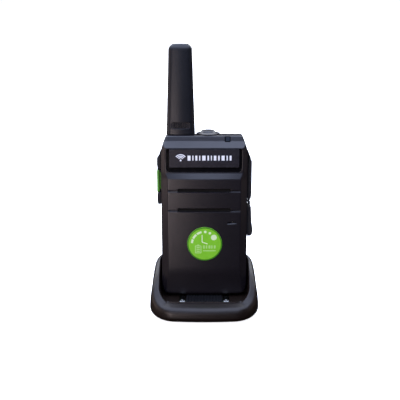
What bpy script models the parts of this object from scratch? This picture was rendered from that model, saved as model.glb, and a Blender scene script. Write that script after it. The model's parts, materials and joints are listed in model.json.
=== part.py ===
"""Two-way radio standing in its desktop charging cradle.

Lengths are written in millimetres and turned into metres when a piece is placed. Pieces of
the cradle are drawn in the cradle's frame: x to the right, y to the rear, z up from the
table. Pieces of the radio are drawn in the radio's own frame, whose origin is the middle of
its underside, and which leans back with the radio as it sits in the cradle.
"""

import math

import bmesh
import bpy
from mathutils import Matrix, Vector

MM = 0.001
GAP = 0.3  # clearance between neighbouring pieces
AXES = {"X": 0, "Y": 1, "Z": 2}

# Radio body, in the radio's frame
HALF_WIDTH = 28.0
HEIGHT = 107.0
FRONT = -13.0
BACK = 13.0
SEAM = 1.0  # where front and rear housings meet
WALL = 1.8
LABEL_FACE = -11.2  # the face behind the name plate, set back from the front panel
BOTTOM_CORNER = 7.0
CHIN_RADIUS = 3.6
CHIN_FRONT = -10.8  # the panel falls back towards the chin, below CHIN_TOP
CHIN_TOP = 18.0
CHIN_SWEEP = 60.0
BATTERY_FRONT = 6.3
BATTERY_TOP = 79.3

# How the radio sits
SEAT = (0.0, -2.2, 8.9)
LEAN = math.radians(7.0)
FOOTPRINT_SHIFT = 2.9  # moves the middle of the whole object's footprint onto the origin

# Front panel
SLOT_HALF_WIDTH = 17.2
SLOT_HEIGHTS = ((71.2, 73.6), (58.1, 60.7))
MICROPHONE = (18.0, 50.9)
STICKER = (0.3, 36.8)
STICKER_RADIUS = 11.35
SPEAKER_HEIGHT = 65.5

# Top
ANTENNA_X = -15.15
ANTENNA_Y = 1.0
ANTENNA_TOP = 164.4
ANTENNA_BASE = (18.4, 10.6)
ANTENNA_TIP = (14.6, 7.6)
KNOB = (2.5, 1.6)
KNOB_RADIUS = 7.2
LAMP = (15.0, -6.82, 104.9)

# Sides
SIDE_BAND = (-4.3, 5.3)  # front to back, of the key surround and of the jack cover
SIDE_FACE = HALF_WIDTH + GAP
TALK_KEY = (69.3, 84.1)
SMALL_KEYS = {"upper": (86.4, 92.6), "lower": (62.6, 67.4)}
KEY_FACE = 30.8
KEY_BACK = 29.2  # the cap stands off the housing by its travel
COVER_HINGE = (29.4, 61.8)
JACKS = (("large", 47.0, 2.0), ("small", 55.5, 1.5))

# Belt clip
CLIP_PIVOT = (16.6, 90.0)

# Fasteners of the radio: x, z
HOUSING_SCREWS = ((-18.5, 8.5), (18.5, 8.5))

# Cradle
CRADLE_HALF_WIDTH = 36.0
CRADLE_FRONT = -32.0
CRADLE_REAR = 24.0
FRONT_TURN = -16.0  # where the side runs into the front corner
REAR_TURN = 6.5
POCKET_HALF_WIDTH = 29.5
POCKET_FRONT = -25.5
POCKET_REAR = 14.6
RIM_REAR = 29.6
WAIST = 4.4  # height of the widest line
FRONT_BOW = 2.2  # how far the front bulges forwards at its middle
UNDERSIDE = 1.0
FLOOR_DROP = 1.2  # pocket floor below the radio
FLOOR_THICKNESS = 1.6
CHARGE_CONTACT_X = 14.4
CRADLE_SCREWS = ((-24.0, -3.0), (24.0, -3.0))
FEET = ((-22.0, -21.0), (22.0, -21.0), (-22.0, 14.5), (22.0, 14.5))

FINISHES = {  # sRGB colour, roughness, metallic
    "housing_plastic": ("2b282d", 0.48, 0.0),
    "cradle_plastic": ("2c2726", 0.42, 0.0),
    "inner_plastic": ("17161a", 0.55, 0.0),
    "gloss_black": ("0d0d10", 0.12, 0.0),
    "plate_plastic": ("2a2930", 0.35, 0.0),
    "green_rubber": ("6f9a3a", 0.5, 0.0),
    "key_rubber": ("1a191b", 0.7, 0.0),
    "sticker_film": ("79bd35", 0.35, 0.0),
    "lamp_window": ("1c2430", 0.1, 0.0),
    "nickel": ("b9bbbd", 0.25, 1.0),
    "brass": ("b59a55", 0.3, 1.0),
    "spring_steel": ("9a9a9c", 0.3, 1.0),
    "board_green": ("1d5a34", 0.5, 0.0),
    "tinned_steel": ("a5a7aa", 0.35, 1.0),
    "cone_paper": ("1b1b1b", 0.8, 0.0),
    "ferrite": ("33312f", 0.6, 0.0),
    "cell_film": ("3a6a9a", 0.4, 0.0),
}


def linear(channel):
    return channel / 12.92 if channel <= 0.04045 else ((channel + 0.055) / 1.055) ** 2.4


def finish(name):
    """The named finish as a material, made on first use."""
    found = bpy.data.materials.get(name)
    if found:
        return found
    colour, roughness, metallic = FINISHES[name]
    made = bpy.data.materials.new(name)
    made.use_nodes = True
    shader = made.node_tree.nodes["Principled BSDF"]
    channels = [linear(int(colour[i : i + 2], 16) / 255) for i in (0, 2, 4)]
    shader.inputs["Base Color"].default_value = (*channels, 1.0)
    shader.inputs["Roughness"].default_value = roughness
    shader.inputs["Metallic"].default_value = metallic
    return made


# ---- building blocks: closed solids in millimetres ----


def solid_from(bm):
    bmesh.ops.recalc_face_normals(bm, faces=bm.faces)
    mesh = bpy.data.meshes.new("solid")
    bm.to_mesh(mesh)
    bm.free()
    solid = bpy.data.objects.new("solid", mesh)
    bpy.context.scene.collection.objects.link(solid)
    return solid


def rounded(corners, steps=4):
    """An outline through (u, v, radius) corners, each turned by an arc of its radius."""
    outline = []
    for i, (u, v, radius) in enumerate(corners):
        here = Vector((u, v))
        if radius == 0:
            outline.append(here)
            continue
        before = (Vector(corners[i - 1][:2]) - here).normalized()
        after = (Vector(corners[(i + 1) % len(corners)][:2]) - here).normalized()
        half = before.angle(after) / 2
        centre = here + (before + after).normalized() * (radius / math.sin(half))
        start = here + before * (radius / math.tan(half)) - centre
        end = here + after * (radius / math.tan(half)) - centre
        first = math.atan2(start.y, start.x)
        turn = math.remainder(math.atan2(end.y, end.x) - first, math.tau)
        for step in range(steps + 1):
            angle = first + turn * step / steps
            outline.append(centre + Vector((math.cos(angle), math.sin(angle))) * radius)
    return outline


def rectangle(low, high, radius=0.0, steps=4):
    (left, bottom), (right, top) = low, high
    corners = [(left, bottom, radius), (right, bottom, radius)]
    corners += [(right, top, radius), (left, top, radius)]
    return rounded(corners, steps)


def circle(centre, radius, steps=20):
    angles = [math.tau * i / steps for i in range(steps)]
    return [Vector(centre) + Vector((math.cos(a), math.sin(a))) * radius for a in angles]


def prism(outline, axis, low, high):
    """The outline, drawn in the plane across the axis, extruded from low to high."""
    bm = bmesh.new()
    across = [i for i in range(3) if i != AXES[axis]]
    corners = []
    for u, v in outline:
        point = [low, low, low]
        point[across[0]] = u
        point[across[1]] = v
        corners.append(bm.verts.new(point))
    face = bm.faces.new(corners)
    grown = bmesh.ops.extrude_face_region(bm, geom=[face])
    travel = [0.0, 0.0, 0.0]
    travel[AXES[axis]] = high - low
    moved = [item for item in grown["geom"] if isinstance(item, bmesh.types.BMVert)]
    bmesh.ops.translate(bm, verts=moved, vec=travel)
    return solid_from(bm)


def box(low, high, radius=0.0, axis="Z"):
    """A block between two corners, its edges along the axis rounded to the radius."""
    i, j = [k for k in range(3) if k != AXES[axis]]
    k = AXES[axis]
    outline = rectangle((low[i], low[j]), (high[i], high[j]), radius)
    return prism(outline, axis, low[k], high[k])


def cylinder(centre, radius, axis, low, high, steps=20):
    return prism(circle(centre, radius, steps), axis, low, high)


def revolved(profile, steps=28):
    """(radius, height) points turned about Z. A profile off the axis closes on itself."""
    bm = bmesh.new()
    rings = []
    for radius, height in profile:
        count = steps if radius > 0 else 1
        ring = []
        for i in range(count):
            angle = math.tau * i / steps
            place = (radius * math.cos(angle), radius * math.sin(angle), height)
            ring.append(bm.verts.new(place))
        rings.append(ring)
    pairs = list(zip(rings, rings[1:]))
    if profile[0][0] > 0:
        pairs.append((rings[-1], rings[0]))
    for ring, other in pairs:
        for i in range(steps):
            n = (i + 1) % steps
            corners = [ring[i % len(ring)], ring[n % len(ring)]]
            corners += [other[n % len(other)], other[i % len(other)]]
            bm.faces.new(list(dict.fromkeys(corners)))
    return solid_from(bm)


def loft(rings):
    """A closed skin over rings of equally many points, capped on its first and last ring."""
    bm = bmesh.new()
    loops = [[bm.verts.new(point) for point in ring] for ring in rings]
    for loop, other in zip(loops, loops[1:]):
        for i in range(len(loop)):
            n = (i + 1) % len(loop)
            bm.faces.new((loop[i], loop[n], other[n], other[i]))
    bm.faces.new(loops[0])
    bm.faces.new(loops[-1])
    return solid_from(bm)


def evaluated_mesh(solid):
    graph = bpy.context.evaluated_depsgraph_get()
    return bpy.data.meshes.new_from_object(solid.evaluated_get(graph))


def wire(points, radius):
    """A round wire with closed ends along the points."""
    curve = bpy.data.curves.new("wire", "CURVE")
    curve.dimensions = "3D"
    curve.bevel_depth = radius
    curve.bevel_resolution = 1
    curve.use_fill_caps = True
    spline = curve.splines.new("POLY")
    spline.points.add(len(points) - 1)
    for point, place in zip(spline.points, points):
        point.co = (*place, 1.0)
    drawn = bpy.data.objects.new("wire", curve)
    bpy.context.scene.collection.objects.link(drawn)
    bm = bmesh.new()
    bm.from_mesh(evaluated_mesh(drawn))
    bpy.data.objects.remove(drawn)
    bmesh.ops.remove_doubles(bm, verts=bm.verts, dist=0.001)
    return solid_from(bm)


def helix(centre, radius, low, high, turns, steps=14):
    """Points of a coil that climbs along Z."""
    points = []
    for i in range(round(turns * steps) + 1):
        angle = math.tau * i / steps
        height = low + (high - low) * i / round(turns * steps)
        spot = Vector(centre) + Vector((math.cos(angle), math.sin(angle))) * radius
        points.append((spot.x, spot.y, height))
    return points


def combined(solid, other, operation):
    modifier = solid.modifiers.new(operation, "BOOLEAN")
    modifier.operation = operation
    modifier.object = other
    mesh = evaluated_mesh(solid)
    solid.modifiers.remove(modifier)
    solid.data = mesh
    bpy.data.objects.remove(other)
    return solid


def cut(solid, *cutters):
    for cutter in cutters:
        combined(solid, cutter, "DIFFERENCE")
    return solid


def joined(solid, *others):
    for other in others:
        combined(solid, other, "UNION")
    return solid


def common(solid, *others):
    for other in others:
        combined(solid, other, "INTERSECT")
    return solid


def moved(solid, matrix):
    solid.data.transform(matrix)
    return solid


def softened(solid, width, segments=2):
    """Rounds every edge of the solid that turns by more than half a right angle."""
    bm = bmesh.new()
    bm.from_mesh(solid.data)
    sharp = [edge for edge in bm.edges if edge.calc_face_angle(0) > math.radians(45)]
    bmesh.ops.bevel(
        bm, geom=sharp, offset=width, segments=segments, profile=0.5, affect="EDGES"
    )
    bpy.data.objects.remove(solid)
    return solid_from(bm)


def frame_empty(name, parent=None, place=(0, 0, 0), lean=0.0):
    empty = bpy.data.objects.new(name, None)
    bpy.context.scene.collection.objects.link(empty)
    empty.parent = parent
    empty.location = Vector(place) * MM
    empty.rotation_euler.x = lean
    return empty


def place(solid, name, frame, finish_name, pivot=(0, 0, 0)):
    """Names the solid, puts it in its frame and turns it into metres, its origin at pivot."""
    solid.data.transform(Matrix.Translation(-Vector(pivot)))
    solid.data.transform(Matrix.Scale(MM, 4))
    solid.data.name = name
    solid.name = name
    solid.location = Vector(pivot) * MM
    solid.parent = frame
    solid.data.materials.clear()
    solid.data.materials.append(finish(finish_name))
    solid.data.shade_smooth()
    solid.data.set_sharp_from_angle(angle=math.radians(35))
    return solid


# ---- the cradle ----


def rim_height(y):
    """The rim's inner edge: low in front, rising steeply and then gently to the rear."""
    back_off = (16.0 - y) / 41.5
    return RIM_REAR - 7.0 * back_off - 11.0 * back_off**3


def floor_height(y):
    """The pocket floor, a plane that leans with the radio."""
    start = SEAT[2] - FLOOR_DROP * math.cos(LEAN)
    return start - (y - SEAT[1] + FLOOR_DROP * math.sin(LEAN)) * math.tan(LEAN)


def plan_ring(half_width, front, rear, bow=0.0):
    """Rounded plan outline, front middle first, anticlockwise seen from above.

    The corner arcs end at FRONT_TURN and REAR_TURN on every ring, so that rings match.
    """
    front_radius = FRONT_TURN - front
    rear_radius = rear - REAR_TURN
    half = []
    for i in range(4):
        half.append(((half_width - front_radius) * i / 4, front))
    for i in range(8):
        angle = math.pi / 2 * i / 7
        x = half_width - front_radius * (1 - math.sin(angle))
        half.append((x, FRONT_TURN - front_radius * math.cos(angle)))
    for i in range(1, 6):
        half.append((half_width, FRONT_TURN + (REAR_TURN - FRONT_TURN) * i / 6))
    for i in range(6):
        angle = math.pi / 2 * i / 5
        x = half_width - rear_radius * (1 - math.cos(angle))
        half.append((x, REAR_TURN + rear_radius * math.sin(angle)))
    half.append((0.0, rear))
    bowed = []
    for x, y in half:
        forward = (rear - y) / (rear - front)
        bowed.append((x, y - bow * forward**3 * (1 - (x / half_width) ** 2)))
    return bowed + [(-x, y) for x, y in reversed(bowed[1:-1])]


def outer_ring(height, inset=0.0):
    """The cradle's outer plan outline at a height, drawn inwards by inset."""
    above = max(height - WAIST, 0.0)
    below = max(WAIST - height, 0.0)
    tuck = 3.7 - math.sqrt(3.7**2 - min(below, 3.65) ** 2) + inset
    half_width = CRADLE_HALF_WIDTH - 3.0 * (above / 21.0) ** 1.6 - tuck
    front = CRADLE_FRONT + 0.8 * (above / 3.7) ** 1.5 + tuck
    rear = CRADLE_REAR - 6.0 * (above / 23.0) ** 1.2 - tuck
    return plan_ring(half_width, min(front, FRONT_TURN - 1.0), rear, FRONT_BOW)


def rim_edge_heights():
    """Height of the rim's outer edge at each point of the outline."""
    heights = [RIM_REAR] * len(outer_ring(WAIST))
    for _ in range(12):
        for i, height in enumerate(heights):
            y = outer_ring(height)[i][1] + 3.5 * (i in FRONT_POINTS)
            forward = (16.0 - y) / 41.5
            target = rim_height(max(y, POCKET_FRONT)) - 2.2 + 0.8 * forward
            heights[i] = (height + target) / 2
    return heights


def at_heights(heights, inset=0.0):
    """Points of the outer skin, each at its own height."""
    ring = []
    for i, height in enumerate(heights):
        x, y = outer_ring(height, inset)[i]
        ring.append((x, y, height))
    return ring


RING_SIZE = len(plan_ring(CRADLE_HALF_WIDTH, CRADLE_FRONT, CRADLE_REAR))
FRONT_POINTS = [i for i in range(RING_SIZE) if i < 8 or i > RING_SIZE - 8]


def cradle_skin():
    """The double-walled tub, from the pocket floor over the rim to the hollow underside."""
    pocket = plan_ring(POCKET_HALF_WIDTH - 0.6, POCKET_FRONT + 0.6, POCKET_REAR - 2.9)
    mouth = plan_ring(POCKET_HALF_WIDTH, POCKET_FRONT, POCKET_REAR)
    crest = plan_ring(POCKET_HALF_WIDTH + 0.7, POCKET_FRONT - 0.7, POCKET_REAR + 0.7)
    edge = rim_edge_heights()
    rings = [[(x, y, floor_height(y)) for x, y in pocket]]
    rings.append([(x, y, rim_height(y) - 0.7) for x, y in mouth])
    rings.append([(x, y, rim_height(max(y, POCKET_FRONT))) for x, y in crest])
    for part in (1.0, 0.72, 0.44, 0.2, 0.0):
        rings.append(at_heights([WAIST + (height - WAIST) * part for height in edge]))
    for height in (2.6, UNDERSIDE):
        rings.append(at_heights([height] * RING_SIZE))
    rings.append(at_heights([UNDERSIDE] * RING_SIZE, 2.0))
    for part in (0.0, 0.5):
        rings.append(
            at_heights([WAIST + (height - WAIST) * part * 0.7 for height in edge], 2.0)
        )
    crown = at_heights([WAIST + (height - WAIST) * 0.7 for height in edge], 2.0)
    below = plan_ring(POCKET_HALF_WIDTH + 1.2, POCKET_FRONT - 1.2, POCKET_REAR - 0.9)
    rings.append([(x, y, z) for x, y, z in crown])
    rings.append([(x, y, floor_height(y) - FLOOR_THICKNESS) for x, y in below])
    return loft(rings)


def cradle_shell(frame):
    shell = cradle_skin()
    for x, y in CRADLE_SCREWS:
        ceiling = floor_height(y) - FLOOR_THICKNESS
        joined(shell, cylinder((x, y), 2.3, "Z", 3.2, ceiling + 0.9, 14))
        cut(shell, cylinder((x, y), 1.0, "Z", 2.0, ceiling + 0.3, 12))
    for side in (-1, 1):
        x = side * CHARGE_CONTACT_X
        cut(shell, box((x - 2.1, -23.6, 2.0), (x + 2.1, -4.6, 14.0)))
    cut(shell, box((-4.8, 16.0, 3.0), (4.8, 30.0, 9.6), 0.5, "Y"))
    place(shell, "cradle_shell", frame, "cradle_plastic")


def cradle_base(frame):
    outline = outer_ring(UNDERSIDE, 2.0 + GAP)
    base = prism(outline, "Z", UNDERSIDE + 0.2, UNDERSIDE + 1.8)
    for x, y in CRADLE_SCREWS:
        cut(base, cylinder((x, y), 2.6, "Z", 0.0, UNDERSIDE + 1.1, 16))
        cut(base, cylinder((x, y), 1.1, "Z", 0.0, 4.0, 12))
    place(base, "cradle_base", frame, "cradle_plastic")


def cradle_fasteners(frame):
    for n, (x, y) in enumerate(CRADLE_SCREWS, 1):
        profile = [(0, 5.2), (0.5, 5.2), (0.7, 4.9), (0.7, 1.85), (2.2, 1.85)]
        profile += [(2.2, 1.5), (1.6, 1.2), (0, 1.2)]
        screw = moved(revolved(profile, 14), Matrix.Translation((x, y, 0)))
        place(screw, f"cradle_screw_{n}", frame, "spring_steel")
    for n, (x, y) in enumerate(FEET, 1):
        profile = [(0, 0.9), (4.0, 0.9), (4.0, 0.2), (3.7, 0), (0, 0)]
        foot = moved(revolved(profile, 18), Matrix.Translation((x, y, 0)))
        place(foot, f"cradle_foot_{n}", frame, "key_rubber")


def cradle_electrics(frame):
    board = box((-19.0, -22.5, 3.2), (19.0, -6.0, 4.0), 1.0)
    place(board, "cradle_board", frame, "board_green")
    jack = box((-4.3, 16.9, 3.4), (4.3, 23.0, 9.2), 0.6, "Y")
    cut(jack, cylinder((0.0, 6.3), 2.3, "Y", 18.5, 26.0, 18))
    place(jack, "cradle_power_jack", frame, "inner_plastic")


def contact_platform(frame):
    """Ribbed rest under the radio, between the two charging contacts."""
    top = -GAP
    plate = box((-12.0, -21.0, -0.9), (12.0, 9.0, top - 0.35))
    ribs = 11
    for i in range(ribs):
        x = -11.2 + 22.4 * i / (ribs - 1)
        joined(plate, box((x - 0.5, -20.6, -0.8), (x + 0.5, 8.6, top)))
    place(plate, "contact_platform", frame, "inner_plastic")


def charge_contact(name, side, frame):
    """Leaf spring: a hump in front of the radio and a tail that presses on its pad."""
    crest = -GAP - 0.1
    line = [(-19.6, -4.4), (-20.1, -3.0), (-19.2, -1.1), (-17.9, crest), (-16.7, crest)]
    line += [(-15.4, -0.9), (-12.4, -1.3), (-9.0, -1.1), (-7.0, crest), (-5.0, crest)]
    line += [(-4.0, -0.9)]
    under = [(y + 0.12, z - 0.45) for y, z in line[2:]]
    lower = [(y + 0.5, z) for y, z in line[:2]] + under
    x = side * CHARGE_CONTACT_X
    leaf = prism(line + lower[::-1], "X", x - 1.6, x + 1.6)
    place(leaf, name, frame, "nickel", (x, line[1][0], line[1][1]))


# ---- the radio's housings ----


def body_outline(inset=0.0):
    """The radio seen from the front: straight sides, sloped shoulders, round chin."""
    side = HALF_WIDTH - inset
    chin = BOTTOM_CORNER - inset
    right = [(side, inset, chin), (side, 97.5, 1.5), (26.6 - inset, 102.0, 1.5)]
    right += [(24.5 - inset, HEIGHT - inset, 1.0)]
    return rounded(right + [(-x, z, r) for x, z, r in reversed(right)], 3)


def front_profile(inset=0.0):
    """Side view of the front housing: chin, panel, set-back label face, stepped top."""
    seam = SEAM - GAP / 2 + inset
    panel = FRONT + inset
    label = LABEL_FACE + inset * 1.7
    corners = [(seam, inset, 0), (CHIN_FRONT + inset, inset, CHIN_RADIUS - inset)]
    corners += [(panel, CHIN_TOP, CHIN_SWEEP)]
    corners += [(panel, 79.9 - inset * 0.3, 0.6), (label, 83.6, 0.6)]
    corners += [(label, 100.0 - inset * 0.6, 0.6), (-7.2 + inset, 103.6 - inset, 0.6)]
    corners += [(-6.2 + inset, HEIGHT - inset * 1.7, 0.6), (seam, HEIGHT - inset * 1.7, 0)]
    return rounded(corners, 3)


def front_plan(inset=0.0):
    seam = SEAM - GAP / 2 + inset
    right = [(23.6 - inset * 0.5, FRONT + inset, 1.0)]
    right += [(HALF_WIDTH - inset, -8.0 + inset * 0.4, 1.5), (HALF_WIDTH - inset, seam, 0)]
    return rounded(right + [(-x, y, r) for x, y, r in reversed(right)], 3)


def front_block(inset):
    block = prism(front_profile(inset), "X", -40.0, 40.0)
    outline = prism(body_outline(inset), "Y", -20.0, 20.0)
    plan = prism(front_plan(inset), "Z", -10.0, 120.0)
    return common(block, outline, plan)


def antenna_neck(inset, low, high):
    half_width = 6.0 + inset
    half_depth = 3.2 + inset
    low_corner = (ANTENNA_X - half_width, ANTENNA_Y - half_depth, low)
    high_corner = (ANTENNA_X + half_width, ANTENNA_Y + half_depth, high)
    return box(low_corner, high_corner, 1.5)


def cut_shared_openings(housing):
    """Openings that lie across the seam, cut from each housing in turn."""
    cut(housing, antenna_neck(GAP, 98.0, 110.0))
    cut(housing, cylinder(KNOB, KNOB_RADIUS + 0.4, "Z", 105.2, 110.0, 28))
    cut(housing, cylinder(KNOB, 3.4, "Z", 98.0, 106.0))
    low, high = SIDE_BAND
    for bottom, top in (TALK_KEY, *SMALL_KEYS.values()):
        middle = (bottom + top) / 2
        half = (top - bottom) / 2 - 1.6 + GAP
        corner = (-32.0, low + 2.4 - GAP, middle - half)
        cut(housing, box(corner, (-25.0, high - 2.4 + GAP, middle + half)))
    for _, height, radius in JACKS:
        cut(housing, cylinder((0.5, height), radius, "X", 25.0, 32.0, 16))


def lamp_prism(half_width, half_height, depth, proud):
    """A block across the steep wall at the lamp, square to that wall."""
    along = Vector((1.0, 3.4)).normalized()
    out = Vector((-along.y, along.x))
    x, y, z = LAMP
    centre = Vector((y, z))
    outline = []
    for a, b in ((-1, -depth), (1, -depth), (1, proud), (-1, proud)):
        outline.append(centre + along * half_height * a + out * b)
    return prism(outline, "X", x - half_width, x + half_width)


def front_housing(frame):
    housing = cut(front_block(0.0), front_block(WALL))
    for x, z in HOUSING_SCREWS:
        joined(housing, cylinder((x, z), 2.4, "Y", FRONT + 2.7, 0.0, 14))
        cut(housing, cylinder((x, z), 1.0, "Y", FRONT + 3.5, 2.0, 12))
    for low, high in SLOT_HEIGHTS:
        slot = box((-SLOT_HALF_WIDTH, FRONT - 1, low), (SLOT_HALF_WIDTH, -9.0, high))
        groove = box((-23.3, FRONT - 1, low + 0.2), (23.3, FRONT + 0.5, low + 1.4))
        cut(housing, slot, groove)
    x, z = MICROPHONE
    scoop = [(FRONT - 1, z + 0.7), (FRONT + 0.9, z + 0.5), (FRONT - 0.1, z - 1.0)]
    scoop += [(FRONT - 1, z - 1.0)]
    cut(housing, prism(scoop, "X", x - 2.7, x + 2.7))
    cut(housing, cylinder((x, z), 0.6, "Y", FRONT - 1, -9.0, 12))
    recess = [(-24.4, 84.0, 2.8), (24.4, 84.0, 2.8), (24.4, 99.6, 1.0), (-24.4, 99.6, 1.0)]
    cut(housing, prism(rounded(recess), "Y", -16.0, LABEL_FACE + 1.6))
    cut(housing, lamp_prism(1.6, 1.65, 4.0, 2.0))
    for side in (-1, 1):
        x = side * CHARGE_CONTACT_X
        cut(housing, box((x - 2.3, -8.4, -1.0), (x + 2.3, -3.6, 3.0)))
    cut_shared_openings(housing)
    place(housing, "front_housing", frame, "housing_plastic")


def rear_profile(inset=0.0):
    """Side view of the rear housing: thin behind the battery, full depth above it."""
    seam = SEAM + GAP / 2 - inset
    lower = BATTERY_FRONT - GAP - inset
    back = BACK - inset
    corners = [(seam, inset, 0), (lower, inset, 0), (lower, BATTERY_TOP + GAP + inset, 0)]
    corners += [(back, BATTERY_TOP + GAP + inset, 0.6), (back, 101.5 - inset, 2.0)]
    corners += [(9.5, 105.9 - inset * 1.5, 1.0), (seam, HEIGHT - inset * 1.7, 0)]
    return rounded(corners, 3)


def back_plan(front, inset=0.0):
    """Plan of what lies behind the seam, its rear edges turned in to the flat back."""
    right = [(HALF_WIDTH - inset, front - inset, 0), (HALF_WIDTH - inset, 9.0, 1.5)]
    right += [(25.0 - inset * 0.6, BACK - inset, 1.5)]
    return rounded(right + [(-x, y, r) for x, y, r in reversed(right)], 3)


def rear_block(inset):
    block = prism(rear_profile(inset), "X", -40.0, 40.0)
    outline = prism(body_outline(inset), "Y", -20.0, 20.0)
    plan = prism(back_plan(SEAM + GAP / 2, inset), "Z", -10.0, 120.0)
    return common(block, outline, plan)


def rear_housing(frame):
    housing = cut(rear_block(0.0), rear_block(1.6))
    for x, z in HOUSING_SCREWS:
        joined(housing, cylinder((x, z), 2.4, "Y", SEAM + GAP / 2, 5.4, 14))
        cut(housing, cylinder((x, z), 1.0, "Y", 0.0, 8.0, 12))
        cut(housing, cylinder((x, z), 2.2, "Y", 4.6, 8.0, 14))
    cut(housing, box((-7.3, 3.0, 69.7), (7.3, 8.0, 74.3)))
    cut_shared_openings(housing)
    place(housing, "rear_housing", frame, "housing_plastic")


def housing_fasteners(frame):
    for n, (x, z) in enumerate(HOUSING_SCREWS, 1):
        profile = [(0, -8.0), (0.5, -8.0), (0.7, -7.7), (0.7, 4.9), (1.9, 4.9)]
        profile += [(1.9, 5.5), (1.4, 5.8), (0, 5.8)]
        screw = revolved(profile, 12)
        screw = moved(screw, Matrix.Rotation(-math.pi / 2, 4, "X"))
        place(moved(screw, Matrix.Translation((x, 0, z))), f"housing_screw_{n}", frame, "spring_steel")


# ---- battery ----


def battery_outline(inset=0.0):
    side = HALF_WIDTH - inset
    right = [(side, inset, BOTTOM_CORNER - inset), (side, BATTERY_TOP - inset, 0.8)]
    return rounded(right + [(-x, z, r) for x, z, r in reversed(right)], 3)


def battery_block(front, inset=0.0):
    block = prism(battery_outline(inset), "Y", front - inset, BACK - inset)
    return common(block, prism(back_plan(front, inset), "Z", -10.0, 120.0))


def battery_case(frame):
    case = battery_block(BATTERY_FRONT + 1.5)
    cut(case, battery_block(BATTERY_FRONT + 1.5, 1.3))
    cut(case, box((-8.4, BACK - 0.7, 64.0), (8.4, BACK + 1.0, 77.5), 1.0, "Y"))
    place(case, "battery_case", frame, "housing_plastic")


def battery_inside(frame):
    cover = prism(battery_outline(), "Y", BATTERY_FRONT, BATTERY_FRONT + 1.2)
    cut(cover, box((-6.8, 5.0, 70.0), (6.8, 9.0, 74.0)))
    place(cover, "battery_inner_cover", frame, "housing_plastic")
    cell = softened(box((-22.5, 8.1, 7.0), (22.5, 11.3, 62.0)), 1.2)
    place(cell, "battery_cell", frame, "cell_film")
    board = box((-16.0, 8.2, 63.5), (16.0, 9.0, 75.5))
    place(board, "battery_board", frame, "board_green")
    block = box((-6.4, 3.4, 70.4), (6.4, 7.9, 73.6))
    for x in (-4.0, 0.0, 4.0):
        cut(block, box((x - 0.8, 6.9, 69.0), (x + 0.8, 9.0, 75.0)))
    place(block, "battery_contact_block", frame, "brass")


def battery_latch(frame):
    latch = box((-7.6, BACK - 0.4, 64.8), (7.6, BACK + 0.8, 74.6), 0.8, "Y")
    for i in range(4):
        low = 66.4 + 2.0 * i
        cut(latch, box((-6.2, BACK + 0.3, low), (6.2, BACK + 2.0, low + 0.9)))
    place(latch, "battery_latch", frame, "housing_plastic", (0, BACK, 70.0))


def charge_pads(frame):
    for name, side in (("charge_pad_left", -1), ("charge_pad_right", 1)):
        x = side * CHARGE_CONTACT_X
        pad = box((x - 2.0, -8.1, 0.05), (x + 2.0, -3.9, 2.2), 0.5)
        place(pad, name, frame, "nickel")


# ---- front panel pieces ----


def front_panel_pieces(frame):
    tray = [(-24.0, 84.4, 2.5), (24.0, 84.4, 2.5), (24.0, 99.25, 0.8), (-24.0, 99.25, 0.8)]
    tray = prism(rounded(tray), "Y", LABEL_FACE + 0.9, LABEL_FACE + 1.3)
    place(tray, "name_plate_tray", frame, "gloss_black")
    plate = [(-22.4, 87.3, 0.5), (22.4, 87.3, 0.5), (22.4, 99.1, 0.5), (-22.4, 99.1, 0.5)]
    plate = prism(rounded(plate), "Y", LABEL_FACE, LABEL_FACE + 0.6)
    place(plate, "name_plate", frame, "plate_plastic")
    sticker = cylinder(STICKER, STICKER_RADIUS, "Y", FRONT - 0.5, FRONT - GAP, 48)
    place(sticker, "charge_sticker", frame, "sticker_film")
    place(lamp_prism(1.3, 1.35, 1.6, 0.1), "lamp_window", frame, "lamp_window")


def speaker(frame):
    centre = Matrix.Translation((0, 0, SPEAKER_HEIGHT)) @ Matrix.Rotation(math.pi / 2, 4, "X")
    basket = [(14.0, 10.6), (14.0, 8.4), (8.0, 6.0), (7.8, 6.0), (7.8, 6.8), (12.6, 9.0)]
    basket += [(12.8, 10.6)]
    place(moved(revolved(basket), centre), "speaker_frame", frame, "tinned_steel")
    cone = [(0, 8.4), (3.6, 8.0), (11.8, 10.3), (12.4, 10.3), (12.4, 9.95), (3.6, 7.5), (0, 7.9)]
    place(moved(revolved(cone), centre), "speaker_cone", frame, "cone_paper")
    magnet = [(0, 5.6), (7.0, 5.6), (7.0, 3.0), (0, 3.0)]
    place(moved(revolved(magnet), centre), "speaker_magnet", frame, "ferrite")
    felt = box((-18.5, -11.15, 56.0), (18.5, -10.9, 78.5), 1.0, "Y")
    place(felt, "speaker_felt", frame, "cone_paper")


def microphone(frame):
    x, z = MICROPHONE
    turn = Matrix.Translation((x, 0, z)) @ Matrix.Rotation(math.pi / 2, 4, "X")
    boot = [(0.6, 10.9), (3.4, 10.9), (3.4, 8.2), (2.8, 8.2), (2.8, 10.3), (0.6, 10.3)]
    place(moved(revolved(boot, 18), turn), "microphone_boot", frame, "key_rubber")
    capsule = [(0, 10.0), (2.5, 10.0), (2.5, 8.4), (0, 8.4)]
    place(moved(revolved(capsule, 18), turn), "microphone", frame, "tinned_steel")


def inner_boards(frame):
    board = box((-17.3, -2.2, 11.5), (17.3, -1.2, 87.0), 1.0, "Y")
    place(board, "main_board", frame, "board_green")
    can = box((-14.0, -5.0, 14.0), (14.0, -2.5, 46.0))
    cut(can, box((-13.6, -4.6, 14.4), (13.6, -2.0, 45.6)))
    place(can, "shield_can", frame, "tinned_steel")
    side_board = box((-24.3, -3.4, 60.5), (-23.5, 4.0, 95.0))
    place(side_board, "key_board", frame, "board_green")


# ---- antenna and knob ----


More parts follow.
